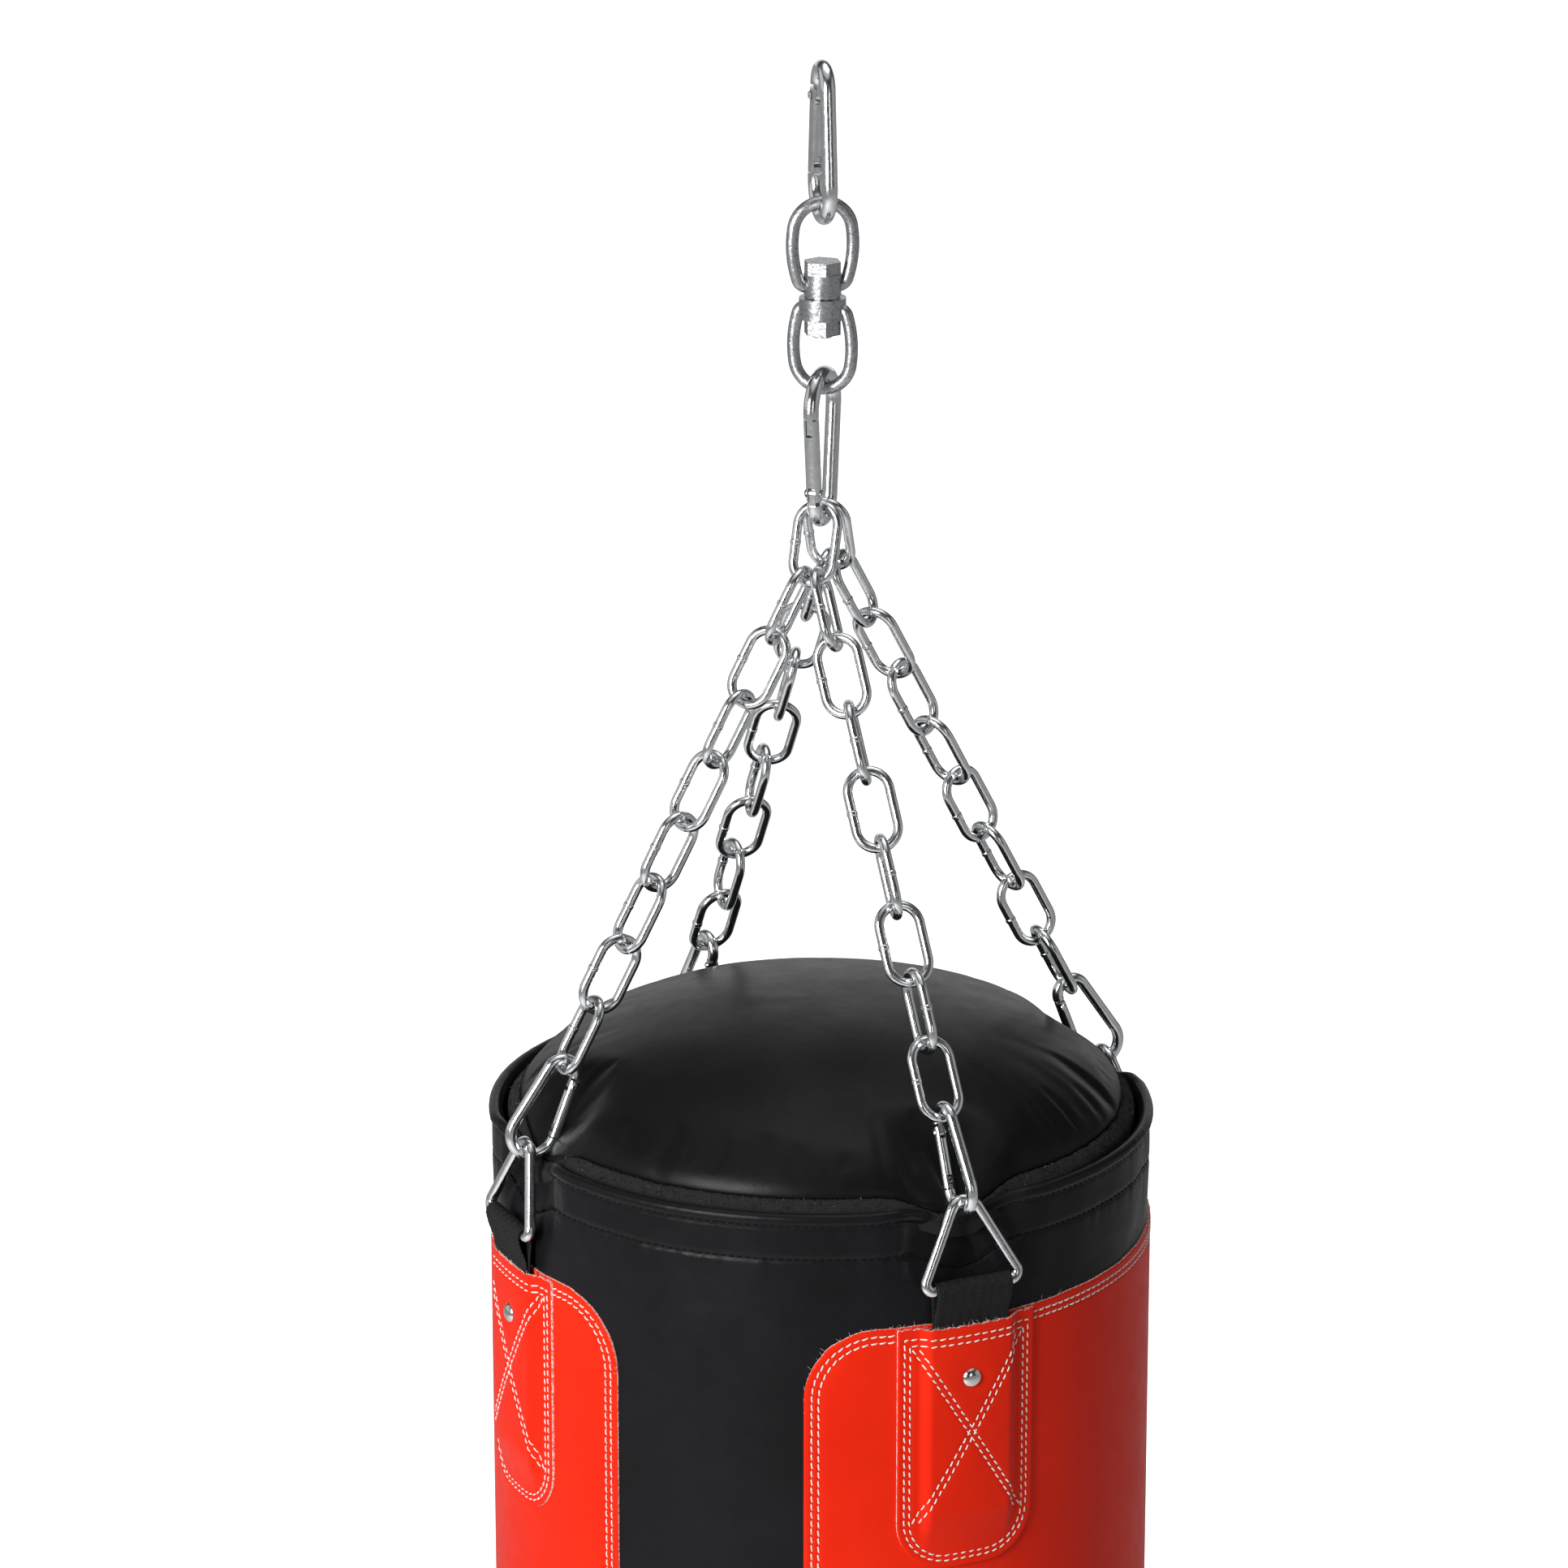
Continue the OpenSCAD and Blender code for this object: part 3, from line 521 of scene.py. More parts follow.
def build_panel(name, cad_node, centre_deg):
    n_side, n_rise, n_arc = 36, 70, 14
    insets = [0, 0.25, 0.8, 1.6, 2.4, 3.2, 4.0, 4.9, 5.8, 6.6, 7.4, 8.6, 10.5, 14, 20, 28, 38]
    rings = []
    args = (PANEL_HALF, PANEL_LOW, PANEL_TOP, PANEL_CORNER_R)
    skirt = rounded_path(*args, 0.0, n_side, n_rise, n_arc)
    wob = edge_wobble(skirt)
    near_end = (PANEL_TOP - PANEL_LOW) / 2 - PANEL_CORNER_R
    skirt[:, 1] += wob * (np.abs(skirt[:, 1] - (PANEL_TOP + PANEL_LOW) / 2) > near_end)
    rings.append((skirt, -0.2 * MM))
    for d in insets:
        path = rounded_path(*args, d * MM, n_side, n_rise, n_arc)
        if d < 1:
            path[:, 1] += (skirt[:, 1] - rounded_path(*args, 0.0, n_side, n_rise, n_arc)[:, 1])
        rise = SHEET_T * (1 - 0.25 * math.exp(-(d / 0.4) ** 2)) - seam_dip(d * MM)
        rings.append((path, rise))
    verts = [on_wall(p[:, 0], p[:, 1], centre_deg, h) for p, h in rings]
    m = len(rings[0][0])
    faces = grid_faces(len(rings), m, wrap_cols=True, flip=True)
    mats = [1] * m + [0] * (m * (len(rings) - 2))
    xs = np.linspace(-(PANEL_HALF - PANEL_CORNER_R), PANEL_HALF - PANEL_CORNER_R, n_side + 1)
    zs = np.linspace(PANEL_LOW + PANEL_CORNER_R, PANEL_TOP - PANEL_CORNER_R, n_rise + 1)
    gx, gz = np.meshgrid(xs, zs)
    start = m * len(rings)
    verts.append(on_wall(gx.ravel(), gz.ravel(), centre_deg, SHEET_T))
    inner = grid_faces(n_rise + 1, n_side + 1, start=start)
    faces += inner
    mats += [0] * len(inner)
    # the last ring and the inner grid meet across the corner radius
    last = rounded_path(*args, PANEL_CORNER_R, n_side, n_rise, n_arc)
    base = m * (len(rings) - 1)

    def grid_index(p):
        j = int(round((p[0] - xs[0]) / (xs[1] - xs[0])))
        i = int(round((p[1] - zs[0]) / (zs[1] - zs[0])))
        return start + min(max(i, 0), n_rise) * (n_side + 1) + min(max(j, 0), n_side)
    for k in range(m):
        k2 = (k + 1) % m
        a, b = grid_index(last[k]), grid_index(last[k2])
        q = [base + k, base + k2, b, a] if a != b else [base + k, base + k2, a]
        faces.append(tuple(q[::-1]))
        mats.append(0)
    panel = new_mesh(name, np.concatenate(verts), faces, "bag", [RED, RAW], mats,
                     open_sheet=True)
    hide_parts(cad_node)
    return panel


def path_stitches(soup, points, place, pitch, proud, closed=True):
    """Stitches of equal length along a path given in (s, z); place(s, z, proud) puts them on the surface."""
    p = np.asarray(points, float)
    if closed:
        p = np.vstack([p, p[:1]])
    seg = np.linalg.norm(np.diff(p, axis=0), axis=1)
    at = np.concatenate([[0], np.cumsum(seg)])
    count = max(1, int(round(at[-1] / pitch)))
    for i in range(count):
        jit = rng.uniform(-0.03, 0.03)
        f = (i + np.linspace(0.09 + jit, 0.90 + jit, 7)) * at[-1] / count
        s = np.interp(f, at, p[:, 0]) + rng.uniform(-0.08, 0.08) * MM
        z = np.interp(f, at, p[:, 1]) + rng.uniform(-0.08, 0.08) * MM
        across = np.array([-(z[-1] - z[0]), s[-1] - s[0]])
        across /= np.hypot(*across) + 1e-12
        lean = np.linspace(-1, 1, 7) * rng.uniform(0.18, 0.34) * MM
        s, z = s + across[0] * lean, z + across[1] * lean
        arch = np.sin(np.linspace(0, np.pi, 7)) * 0.55 * MM - 0.42 * MM
        pts = place(s, z, proud + arch)
        up = place(s, z, proud + arch + 1 * MM) - pts
        up /= np.linalg.norm(up, axis=1)[:, None]
        soup.add(*tube_along(pts, up, 0.43 * MM, 0.36 * MM))


STITCH = 4.55 * MM


def build_panel_stitches(name, centre_deg):
    soup = Soup()

    def place(s, z, h):
        return on_wall(s, z, centre_deg, h)
    for d in (ROW_1, ROW_2):
        path = rounded_path(PANEL_HALF, PANEL_LOW, PANEL_TOP, PANEL_CORNER_R, d, 60, 120, 20)
        path_stitches(soup, path, place, STITCH, SHEET_T - 0.1 * MM)
    return soup.build(name, "bag", WHITE_THREAD)


# ---------------------------------------------------------------- tabs
TAB_CORNER = 27 * MM
TAB_ROWS = ((3.8 * MM, 5.5 * MM), (6.6 * MM, 9.1 * MM))
STRAP_LIFT = 4.0 * MM


def tab_height(s, z):
    """How far the tab's outer face stands off the wall: low at its sides, raised over the strap."""
    side = smooth((STRAP_W / 2 + 6.5 * MM - np.abs(s)) / (6.2 * MM))
    end = smooth((z - TAB_LOW - 8 * MM) / (26 * MM))
    return SHEET_T * 2 + STRAP_LIFT * side * end


def tab_half(z):
    """Half the tab's width at a height, with the rounded lower corners."""
    h = np.clip(TAB_LOW + TAB_CORNER - z, 0, TAB_CORNER)
    return TAB_W / 2 - TAB_CORNER + np.sqrt(np.maximum(TAB_CORNER ** 2 - h ** 2, 0))


def tab_edge_distance(s, z):
    """Distance from the tab's sides and rounded foot; its top edge has rows of its own."""
    d = TAB_W / 2 - np.abs(s)
    cx = np.abs(s) - (TAB_W / 2 - TAB_CORNER)
    cz = (TAB_LOW + TAB_CORNER) - z
    corner = TAB_CORNER - np.hypot(np.maximum(cx, 0), np.maximum(cz, 0))
    return np.where(z < TAB_LOW + TAB_CORNER, corner, d)


RIVET_Z = TAB_TOP - 29 * MM
CROSS_TOP = TAB_TOP - 10.5 * MM
CROSS_LOW = TAB_LOW + TAB_CORNER - 1 * MM
CROSS_HALF = TAB_W / 2 - 7.6 * MM


def cross_lines():
    lines = []
    slant = 1.5 * MM / math.cos(math.atan2(2 * CROSS_HALF, CROSS_TOP - CROSS_LOW))
    for sx in (-1, 1):
        for off in (-slant, slant):
            end = sx * (CROSS_HALF - slant)
            lines.append([(-end + off, CROSS_LOW), (end + off, CROSS_TOP)])
    return lines


def line_distance(s, z, a, b):
    d = np.array(b) - np.array(a)
    t = np.clip(((s - a[0]) * d[0] + (z - a[1]) * d[1]) / (d @ d), 0, 1)
    return np.hypot(s - a[0] - t * d[0], z - a[1] - t * d[1])


def tab_surface(s, z, centre_deg, extra):
    d = tab_edge_distance(s, z)
    up = np.clip(TAB_TOP - z, 0, None)
    dip = 0 * d
    for side_row, top_row in TAB_ROWS:
        on_side = np.exp(-((d - side_row) / (0.8 * MM)) ** 2) * (up > top_row - 1 * MM)
        on_top = np.exp(-((up - top_row) / (0.8 * MM)) ** 2) * (d > side_row - 1 * MM)
        dip = dip + 0.42 * MM * np.maximum(on_side, on_top)
    for a, b in cross_lines():
        dip = dip + 0.35 * MM * np.exp(-(line_distance(s, z, a, b) / (0.8 * MM)) ** 2)
    press = 0.9 * MM * np.exp(-(np.hypot(s, z - RIVET_Z) / (7 * MM)) ** 2)
    return on_wall(s, z, centre_deg, tab_height(s, z) - dip - press + extra)


def build_tab(name, cad_node, centre_deg):
    rows, cols = 132, 66
    zs = np.concatenate([TAB_LOW + TAB_CORNER * (1 - np.cos(np.linspace(0.04, np.pi / 2, 18))),
                         np.linspace(TAB_LOW + TAB_CORNER, TAB_TOP, rows - 18)[1:]])
    u = np.linspace(-1, 1, cols)
    top = []
    for z in zs:
        s = u * tab_half(z)
        wob = 0.3 * MM * (np.sin(s * 900) + np.sin(s * 2300 + centre_deg)) if z == zs[-1] else 0
        top.append(tab_surface(s, z + wob + 0 * s, centre_deg, 0))
    n = len(zs)
    verts = list(np.concatenate(top))
    faces = grid_faces(n, cols)
    mats = [0] * len(faces)
    loop = [j for j in range(cols)] + [i * cols + cols - 1 for i in range(1, n)] \
        + [(n - 1) * cols + j for j in range(cols - 2, -1, -1)] + [i * cols for i in range(n - 2, 0, -1)]
    start = len(verts)
    for k in loop:
        p = verts[k]
        r = math.hypot(p[0], p[1])
        drop = 1.6 * MM
        verts.append(np.array([p[0] * (r - drop) / r, p[1] * (r - drop) / r, p[2]]))
    m = len(loop)
    for k in range(m):
        k2 = (k + 1) % m
        faces.append((loop[k2], loop[k], start + k, start + k2))
        mats.append(1)
    tab = new_mesh(name, verts, faces, "bag", [RED, RAW], mats, open_sheet=True)
    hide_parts(cad_node)
    return tab


def build_tab_stitches(name, centre_deg):
    soup = Soup()

    def place(s, z, h):
        return tab_surface(s, z, centre_deg, h)
    for d, top_row in TAB_ROWS:
        zs_up = np.linspace(TAB_LOW + TAB_CORNER, TAB_TOP - top_row, 40)
        right = [(TAB_W / 2 - d, z) for z in zs_up]
        arc_r = TAB_CORNER - d
        arc = [(TAB_W / 2 - TAB_CORNER + arc_r * math.cos(a), TAB_LOW + TAB_CORNER - arc_r * math.sin(a))
               for a in np.linspace(np.pi / 2, 0, 12)]
        low_row = [(x, TAB_LOW + d) for x in np.linspace(0, TAB_W / 2 - TAB_CORNER, 8)]
        half = low_row + arc + right + [(x, TAB_TOP - top_row) for x in np.linspace(TAB_W / 2 - d, 0, 12)]
        other = [(-x, z) for x, z in half[::-1]]
        path_stitches(soup, half + other, place, STITCH, 0.12 * MM)
    for a, b in cross_lines():
        path_stitches(soup, np.linspace(a, b, 30), place, STITCH, 0.12 * MM, closed=False)
    return soup.build(name, "bag", WHITE_THREAD)


# ---------------------------------------------------------------- webbing loops
def corner_frame(centre_deg):
    t = math.radians(centre_deg)
    return np.array([math.cos(t), math.sin(t), 0]), np.array([-math.sin(t), math.cos(t), 0])


def ring_bar(corner):
    """Centre of the ring's bar, read from its CAD node."""
    radial, _ = corner_frame(CORNERS[corner])
    co = np.array([v.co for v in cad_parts["ring_" + corner].data.vertices])
    lowest = co[co[:, 2] < co[:, 2].min() + 3 * MM]
    return (lowest @ radial).max() - 3 * MM, co[:, 2].min() + 3 * MM


def herringbone(across, along):
    """Relief of the weave: slanted yarns that turn back every few millimetres across the width."""
    band = 5.2 * MM
    t = across / band
    fold = abs(t - math.floor(t) - 0.5) * 2 * band
    yarn = math.sin((along + fold) * 2 * math.pi / (2.5 * MM))
    warp = math.cos(across * 2 * math.pi / (1.3 * MM))
    return 0.26 * MM * yarn + 0.08 * MM * warp


def build_strap(corner):
    deg = CORNERS[corner]
    radial, tangent = corner_frame(deg)
    bar_r, bar_z = ring_bar(corner)
    loop = 3.95 * MM
    outer, inner = PANEL_R - bar_r + 2.6 * MM, PANEL_R - bar_r + 0.9 * MM
    path = [(outer, TAB_TOP - bar_z - 25 * MM), (outer, TAB_TOP - bar_z + 3 * MM)]
    path += [(outer + 0.6 * MM, -14 * MM), (2.4 * MM, -7 * MM)]
    path += [(loop * math.cos(a), loop * math.sin(a)) for a in np.linspace(-0.3, math.pi + 0.3, 18)]
    path += [(-3.4 * MM, -7 * MM), (inner - 0.1 * MM, -14 * MM)]
    path += [(inner, TAB_TOP - bar_z + 3 * MM), (inner, TAB_TOP - bar_z - 25 * MM)]
    p = np.array(path)
    seg = np.concatenate([[0], np.cumsum(np.linalg.norm(np.diff(p, axis=0), axis=1))])
    f = np.linspace(0, seg[-1], 300)
    q = np.stack([np.interp(f, seg, p[:, 0]), np.interp(f, seg, p[:, 1])], -1)
    for _ in range(24):
        q[1:-1] = (q[:-2] + 2 * q[1:-1] + q[2:]) / 4
    t = np.gradient(q, axis=0)
    t /= np.linalg.norm(t, axis=1)[:, None]
    n = np.stack([t[:, 1], -t[:, 0]], -1)
    half_t = 0.60 * MM
    cols = 150
    us = np.linspace(-1, 1, cols)
    verts, faces = [], []
    for sign in (1, -1):
        for i in range(len(q)):
            for u in us:
                edge = 1 - 0.75 * max(0, (abs(u) - 0.96) / 0.04) ** 2
                h = sign * (half_t * edge + herringbone(u * STRAP_W / 2, f[i]))
                rr = bar_r + q[i, 0] + n[i, 0] * h
                zz = bar_z + q[i, 1] + n[i, 1] * h
                verts.append(radial * rr + tangent * (u * STRAP_W / 2) + np.array([0, 0, zz]))
    m = len(q)
    faces += grid_faces(m, cols)
    faces += grid_faces(m, cols, flip=True, start=m * cols)
    o = m * cols
    for i in range(m - 1):
        a, b = i * cols, (i + 1) * cols
        faces.append((a, b, o + b, o + a))
        a, b = a + cols - 1, b + cols - 1
        faces.append((b, a, o + a, o + b))
    for j in range(cols - 1):
        faces.append((j + 1, j, o + j, o + j + 1))
        e = (m - 1) * cols
        faces.append((e + j, e + j + 1, o + e + j + 1, o + e + j))
    strap = new_mesh("webbing_" + corner, verts, faces, "bag", [WEBBING])
    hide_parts("strap_" + corner)
    return strap


# ---------------------------------------------------------------- rivets
def build_rivets():
    soup = Soup()
    outline = [(0, 2.5), (1.6, 2.4), (3.0, 2.05), (4.1, 1.45), (4.8, 0.75), (5.15, 0.35), (5.3, 0.0),
               (5.2, -0.3), (4.6, -0.45)]
    up = np.array([0, 0, 1])
    sides = 40
    for deg in CORNERS.values():
        radial, tangent = corner_frame(deg)
        base = tab_surface(np.array([0.0]), np.array([RIVET_Z]), deg, 0.1 * MM)[0]
        verts = []
        for r, h in outline:
            for k in range(sides):
                a = 2 * math.pi * k / sides
                spoke = tangent * math.cos(a) + up * math.sin(a)
                verts.append(base + radial * h * MM + spoke * max(r, 0.02) * MM)
        faces = grid_faces(len(outline), sides, wrap_cols=True, flip=True)
        faces.append(tuple(range(sides)))
        soup.add(verts, faces)
    rivets = soup.build("domed_rivets", "bag", NICKEL)
    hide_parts("tab_rivets")
    return rivets


# ---------------------------------------------------------------- top cover and its tape
EDGE_RISE = 3.5 * MM
NET = 121
SETTLE_FRAMES = 20
MOST_MOVE = 3.0 * MM


# each fold's place, depth, width in degrees, and the share of the radius at which it fades out
FOLDS = [(rng.uniform(-1, 1), rng.uniform(0.5, 1.0), rng.uniform(1.0, 2.6), rng.uniform(0.55, 0.8))
         for _ in range(26)]


def cover_folds(q, deg):
    """Soft folds of uneven length that run in from the edge, most of them at the two sides."""
    total = 0 * (q + deg)
    for i, (place, depth, width, inner) in enumerate(FOLDS):
        centre = (0 if i % 2 else 180) + 62 * place ** 3 + 18 * place
        off = np.mod(deg - centre + 180, 360) - 180
        fade = smooth((q - inner) / (1 - inner)) * smooth((1.06 - q) / 0.1)
        total = total + depth * np.exp(-(off / width) ** 2) * fade
    return total


def dome_height(r, deg):
    q = np.clip(r / COVER_R, 0, 1)
    crown = EDGE_RISE + (DOME_H - EDGE_RISE - 1.5 * MM) * np.maximum(0, 1 - q ** 2.15) ** 0.62
    hollow = 13 * MM * bump(deg, 15) * smooth((r - 118 * MM) / (40 * MM))
    pull = 0.35 * MM * smooth((q - 0.6) / 0.4) * crease_waves(deg, 0) * np.clip(1.15 - q, 0, 1)
    broad = 0.6 * MM * dome_waves(deg, q * 0.3) * smooth(q * 2) * (1 - q) * 2.0
    return crown - hollow + pull + broad - 1.3 * MM * cover_folds(q, deg)


def cover_grid():
    """A square net over the cover, its rim level with the cover's edge."""
    side = np.linspace(-1.03 * COVER_R, 1.03 * COVER_R, NET)
    x, y = np.meshgrid(side, side)
    r = np.minimum(np.hypot(x, y), COVER_R)
    z = LIP_Z + dome_height(r, np.degrees(np.arctan2(y, x)))
    return side, np.stack([x, y, z], -1).reshape(-1, 3)


def settle_cover():
    """How far each point of the net moves when its cloth, cut a little large, is blown out from below."""
    side, start = cover_grid()
    mesh = bpy.data.meshes.new("cover_net")
    mesh.from_pydata([tuple(v) for v in start], [], grid_faces(NET, NET))
    net = bpy.data.objects.new("cover_net", mesh)
    bpy.context.scene.collection.objects.link(net)
    held = net.vertex_groups.new(name="held")
    rim = np.nonzero(np.hypot(start[:, 0], start[:, 1]) > COVER_R - 5 * MM)[0]
    held.add([int(i) for i in rim], 1.0, "REPLACE")
    cloth = net.modifiers.new("cloth", "CLOTH")
    cloth.settings.vertex_group_mass = "held"
    cloth.settings.quality = 6
    cloth.settings.bending_stiffness = 5.0
    cloth.settings.shrink_min = cloth.settings.shrink_max = -0.006
    cloth.settings.use_pressure = True
    cloth.settings.uniform_pressure_force = 4.0
    cloth.settings.effector_weights.gravity = 0.0
    cloth.point_cache.frame_end = SETTLE_FRAMES
    for f in range(1, SETTLE_FRAMES + 1):
        bpy.context.scene.frame_set(f)
    final = net.evaluated_get(bpy.context.evaluated_depsgraph_get()).to_mesh()
    moved = np.array([v.co for v in final.vertices]) - start
    bpy.context.scene.frame_set(1)
    bpy.data.objects.remove(net, do_unlink=True)
    size = np.linalg.norm(moved, axis=1)[:, None]
    print("cover settled by up to", float(size.max()), "m, mean", float(size.mean()))
    moved *= np.minimum(1, MOST_MOVE / np.maximum(size, 1e-9))
    return side, moved.reshape(NET, NET, 3)


def net_moves(points, side, moved):
    """The net's movement at any points, between its own by proportion."""
    step = side[1] - side[0]
    gx, gy = (points[:, 0] - side[0]) / step, (points[:, 1] - side[0]) / step
    i, j = np.clip(gy.astype(int), 0, NET - 2), np.clip(gx.astype(int), 0, NET - 2)
    a, b = (gy - i)[:, None], (gx - j)[:, None]
    return ((1 - a) * (1 - b) * moved[i, j] + (1 - a) * b * moved[i, j + 1]
            + a * (1 - b) * moved[i + 1, j] + a * b * moved[i + 1, j + 1])


def build_cover():
    cols, rows = 540, 110
    deg = np.arange(cols) * 360 / cols
    out = []
    for k in range(1, rows + 1):
        q = math.sin(math.pi / 2 * k / rows)
        r = COVER_R * q
        out.append(polar(deg, r + 0 * deg, LIP_Z + dome_height(r + 0 * deg, deg)))
    edge_z = LIP_Z + dome_height(COVER_R + 0 * deg, deg)
    for dz in (2, 5, 9, 14):
        out.append(polar(deg, COVER_R - 0.4 * MM + 0 * deg, edge_z - dz * MM))
    verts = np.vstack([np.concatenate(out), [[0, 0, LIP_Z + DOME_H - 1.5 * MM]]])
    inside = smooth((COVER_R - np.hypot(verts[:, 0], verts[:, 1])) / (6 * MM))[:, None]
    verts = verts + inside * net_moves(verts, *settle_cover())
    faces = grid_faces(len(out), cols, wrap_cols=True, flip=True)
    tip = len(verts) - 1
    faces += [(tip, j, (j + 1) % cols) for j in range(cols)]
    cover = new_mesh("crowned_cover", verts, faces, "bag", [COVER])
    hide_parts("top_cover")
    return cover


def tape_z(deg):
    return LIP_Z + dome_height(COVER_R + 0 * deg, deg)


def build_tape():
    cols = 1440
    deg = np.arange(cols) * 360 / cols
    profile = [(-0.8, -9.0), (-0.4, -2.2), (0.5, -0.7), (2.0, -0.9), (3.6, -2.2), (5.2, -3.6),
               (6.6, -5.2), (6.8, -11)]
    rows = []
    for dr, dz in profile:
        fuzz = rng.normal(0, 0.22, cols) * MM
        fuzz2 = rng.normal(0, 0.22, cols) * MM
        rows.append(polar(deg, COVER_R + dr * MM + fuzz * 0.6, tape_z(deg) + dz * MM + fuzz2))
    verts = np.concatenate(rows)
    faces = grid_faces(len(rows), cols, wrap_cols=True)
    tape = new_mesh("closure_tape_ring", verts, faces, "bag", [TAPE], open_sheet=True)
    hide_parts("closure_tape")
    return tape


# ---------------------------------------------------------------- loose fibres along the cut edges
def fibre(soup, start, direction, length, curl, r):
    n = 5
    pts = [start + direction * length * t + curl * (t ** 2) * length for t in np.linspace(0, 1, n)]
    side = np.cross(direction, [0.3, 0.2, 0.93])
    side /= np.linalg.norm(side)
    soup.add(*tube_along(pts, np.tile(side, (n, 1)), r, r, sides=3))


def upward(tangent, radial, low_up, out):
    """A random direction between upright and sideways, leaning outwards by at most out."""
    d = (np.array([0, 0, 1.0]) * rng.uniform(low_up, 1) + tangent * rng.uniform(-1, 1)
         + radial * rng.uniform(0, out))
    return d / np.linalg.norm(d)


def build_fray():
    """Short pale fibres of the textile backing along the cut upper edges."""
    soup = Soup()
    path = rounded_path(PANEL_HALF, PANEL_LOW, PANEL_TOP, PANEL_CORNER_R, 0, 60, 120, 20)
    for centre in (0.0, 180.0):
        for _ in range(260):
            s, z = path[rng.integers(0, 82)] * (rng.choice([-1, 1]), 1)
            proud = SHEET_T * rng.uniform(0.5, 0.95)
            base = on_wall(np.array([s]), np.array([z + 0.1 * MM]), centre, proud)[0]
            radial, tangent = corner_frame(centre + math.degrees(s / PANEL_R))
            fibre(soup, base, upward(tangent, radial, 0.3, 0.35), rng.uniform(0.6, 2.2) * MM,
                  rng.normal(0, 0.3, 3), 0.07 * MM)
    for deg in CORNERS.values():
        radial, tangent = corner_frame(deg)
        for _ in range(90):
            s = rng.uniform(-1, 1) * TAB_W / 2
            base = tab_surface(np.array([s]), np.array([TAB_TOP]), deg, -rng.uniform(0.1, 0.9) * MM)[0]
            fibre(soup, base, upward(tangent, radial, 0.3, 0.4), rng.uniform(0.6, 2.6) * MM,
                  rng.normal(0, 0.3, 3), 0.07 * MM)
    return soup.build("frayed_fibres", "bag", FRAY)


def build_tape_fuzz():
    """The tape's pile: fine hooked hairs all along the band, a few of them pale, which stand in for the
    band's small glints as painted highlight.
    """
    # the few pale hairs are painted highlight: their pale colour stands in for the tape's glints
    for name, count, thick, thread in (("tape_pile", 5200, 0.11, BLACK_THREAD),
                                       ("tape_glint_hairs", 260, 0.05, FRAY)):
        soup = Soup()
        for _ in range(count):
            deg = rng.uniform(0, 360)
            radial, tangent = corner_frame(deg)
            out = rng.uniform(0.3, 6.0)
            base = radial * (COVER_R + out * MM)
            base[2] = float(tape_z(np.array([deg]))[0]) - (0.9 + 0.72 * out) * MM
            fibre(soup, base, upward(tangent, radial, 0.5, 0.8), rng.uniform(0.8, 1.9) * MM,
                  rng.normal(0, 0.5, 3), thick * MM)
        soup.build(name, "bag", thread)


# ---------------------------------------------------------------- steel
def loose_parts(obj):
    """The separate closed parts of a mesh, each as an array of its points."""
    co = np.array([v.co for v in obj.data.vertices])
    key = np.round(co / 2e-6).astype(np.int64)
    _, weld = np.unique(key, axis=0, return_inverse=True)
    weld = weld.ravel()
    parent = np.arange(weld.max() + 1)

    def find(a):
        while parent[a] != a:
            parent[a] = parent[parent[a]]
            a = parent[a]
        return a
    for e in obj.data.edges:
        a, b = find(weld[e.vertices[0]]), find(weld[e.vertices[1]])
        if a != b:
            parent[a] = b
    roots = np.array([find(w) for w in weld])
    return [co[roots == r] for r in np.unique(roots)]


def link_axes(points):
    """Centre, long axis, cross axis and normal of a chain link, with its half sizes."""
    _, vec = np.linalg.eigh(np.cov((points - points.mean(0)).T))
    long_axis, cross_axis, normal = vec[:, 2], vec[:, 1], vec[:, 0]
    rel = points - points.mean(0)
    size = [np.ptp(rel @ a) / 2 for a in (long_axis, cross_axis, normal)]
    mid = points.mean(0)
    for a in (long_axis, cross_axis, normal):
        mid = mid + a * ((rel @ a).max() + (rel @ a).min()) / 2
    return mid, long_axis, cross_axis, normal, size


def collar_of_wire(soup, centre, along, wire_r, outline):
    """A turned ring round a wire; outline is (distance along, height over the wire) in millimetres."""
    along = along / np.linalg.norm(along)
    side = np.cross(along, [0.31, 0.87, 0.38])
    side /= np.linalg.norm(side)
    up = np.cross(along, side)
    n = 28
    verts = []
    for x, h in outline:
        for k in range(n):
            a = 2 * math.pi * k / n
            r = wire_r + h * MM * (1 + 0.25 * math.sin(3 * a + x))
            verts.append(centre + along * x * MM + (side * math.cos(a) + up * math.sin(a)) * r)
    faces = grid_faces(len(outline), n, wrap_cols=True)
    faces += [tuple(range(n))[::-1], tuple((len(outline) - 1) * n + k for k in range(n))]
    soup.add(verts, faces)


WELD = [(-1.6, -0.35), (-1.3, 0.05), (-0.8, 0.28), (-0.35, 0.42), (0.0, 0.20), (0.35, 0.40), (0.8, 0.24),
        (1.3, 0.04), (1.6, -0.35)]


def build_welds():
    """The butt weld's bead, half way along one limb of every link."""
    soup = Soup()
    names = ["chain_" + c for c in CORNERS] + ["front_master_link", "rear_master_link"]
    for name in names:
        for points in loose_parts(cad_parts[name]):
            mid, along, across, _, size = link_axes(points)
            wire_r = size[2]
            sign = 1 if across @ np.array([-0.62, -0.35, 0.7]) > 0 else -1
            collar_of_wire(soup, mid + across * sign * (size[1] - wire_r), along, wire_r, WELD)
    return soup.build("link_welds", "bag", ZINC)


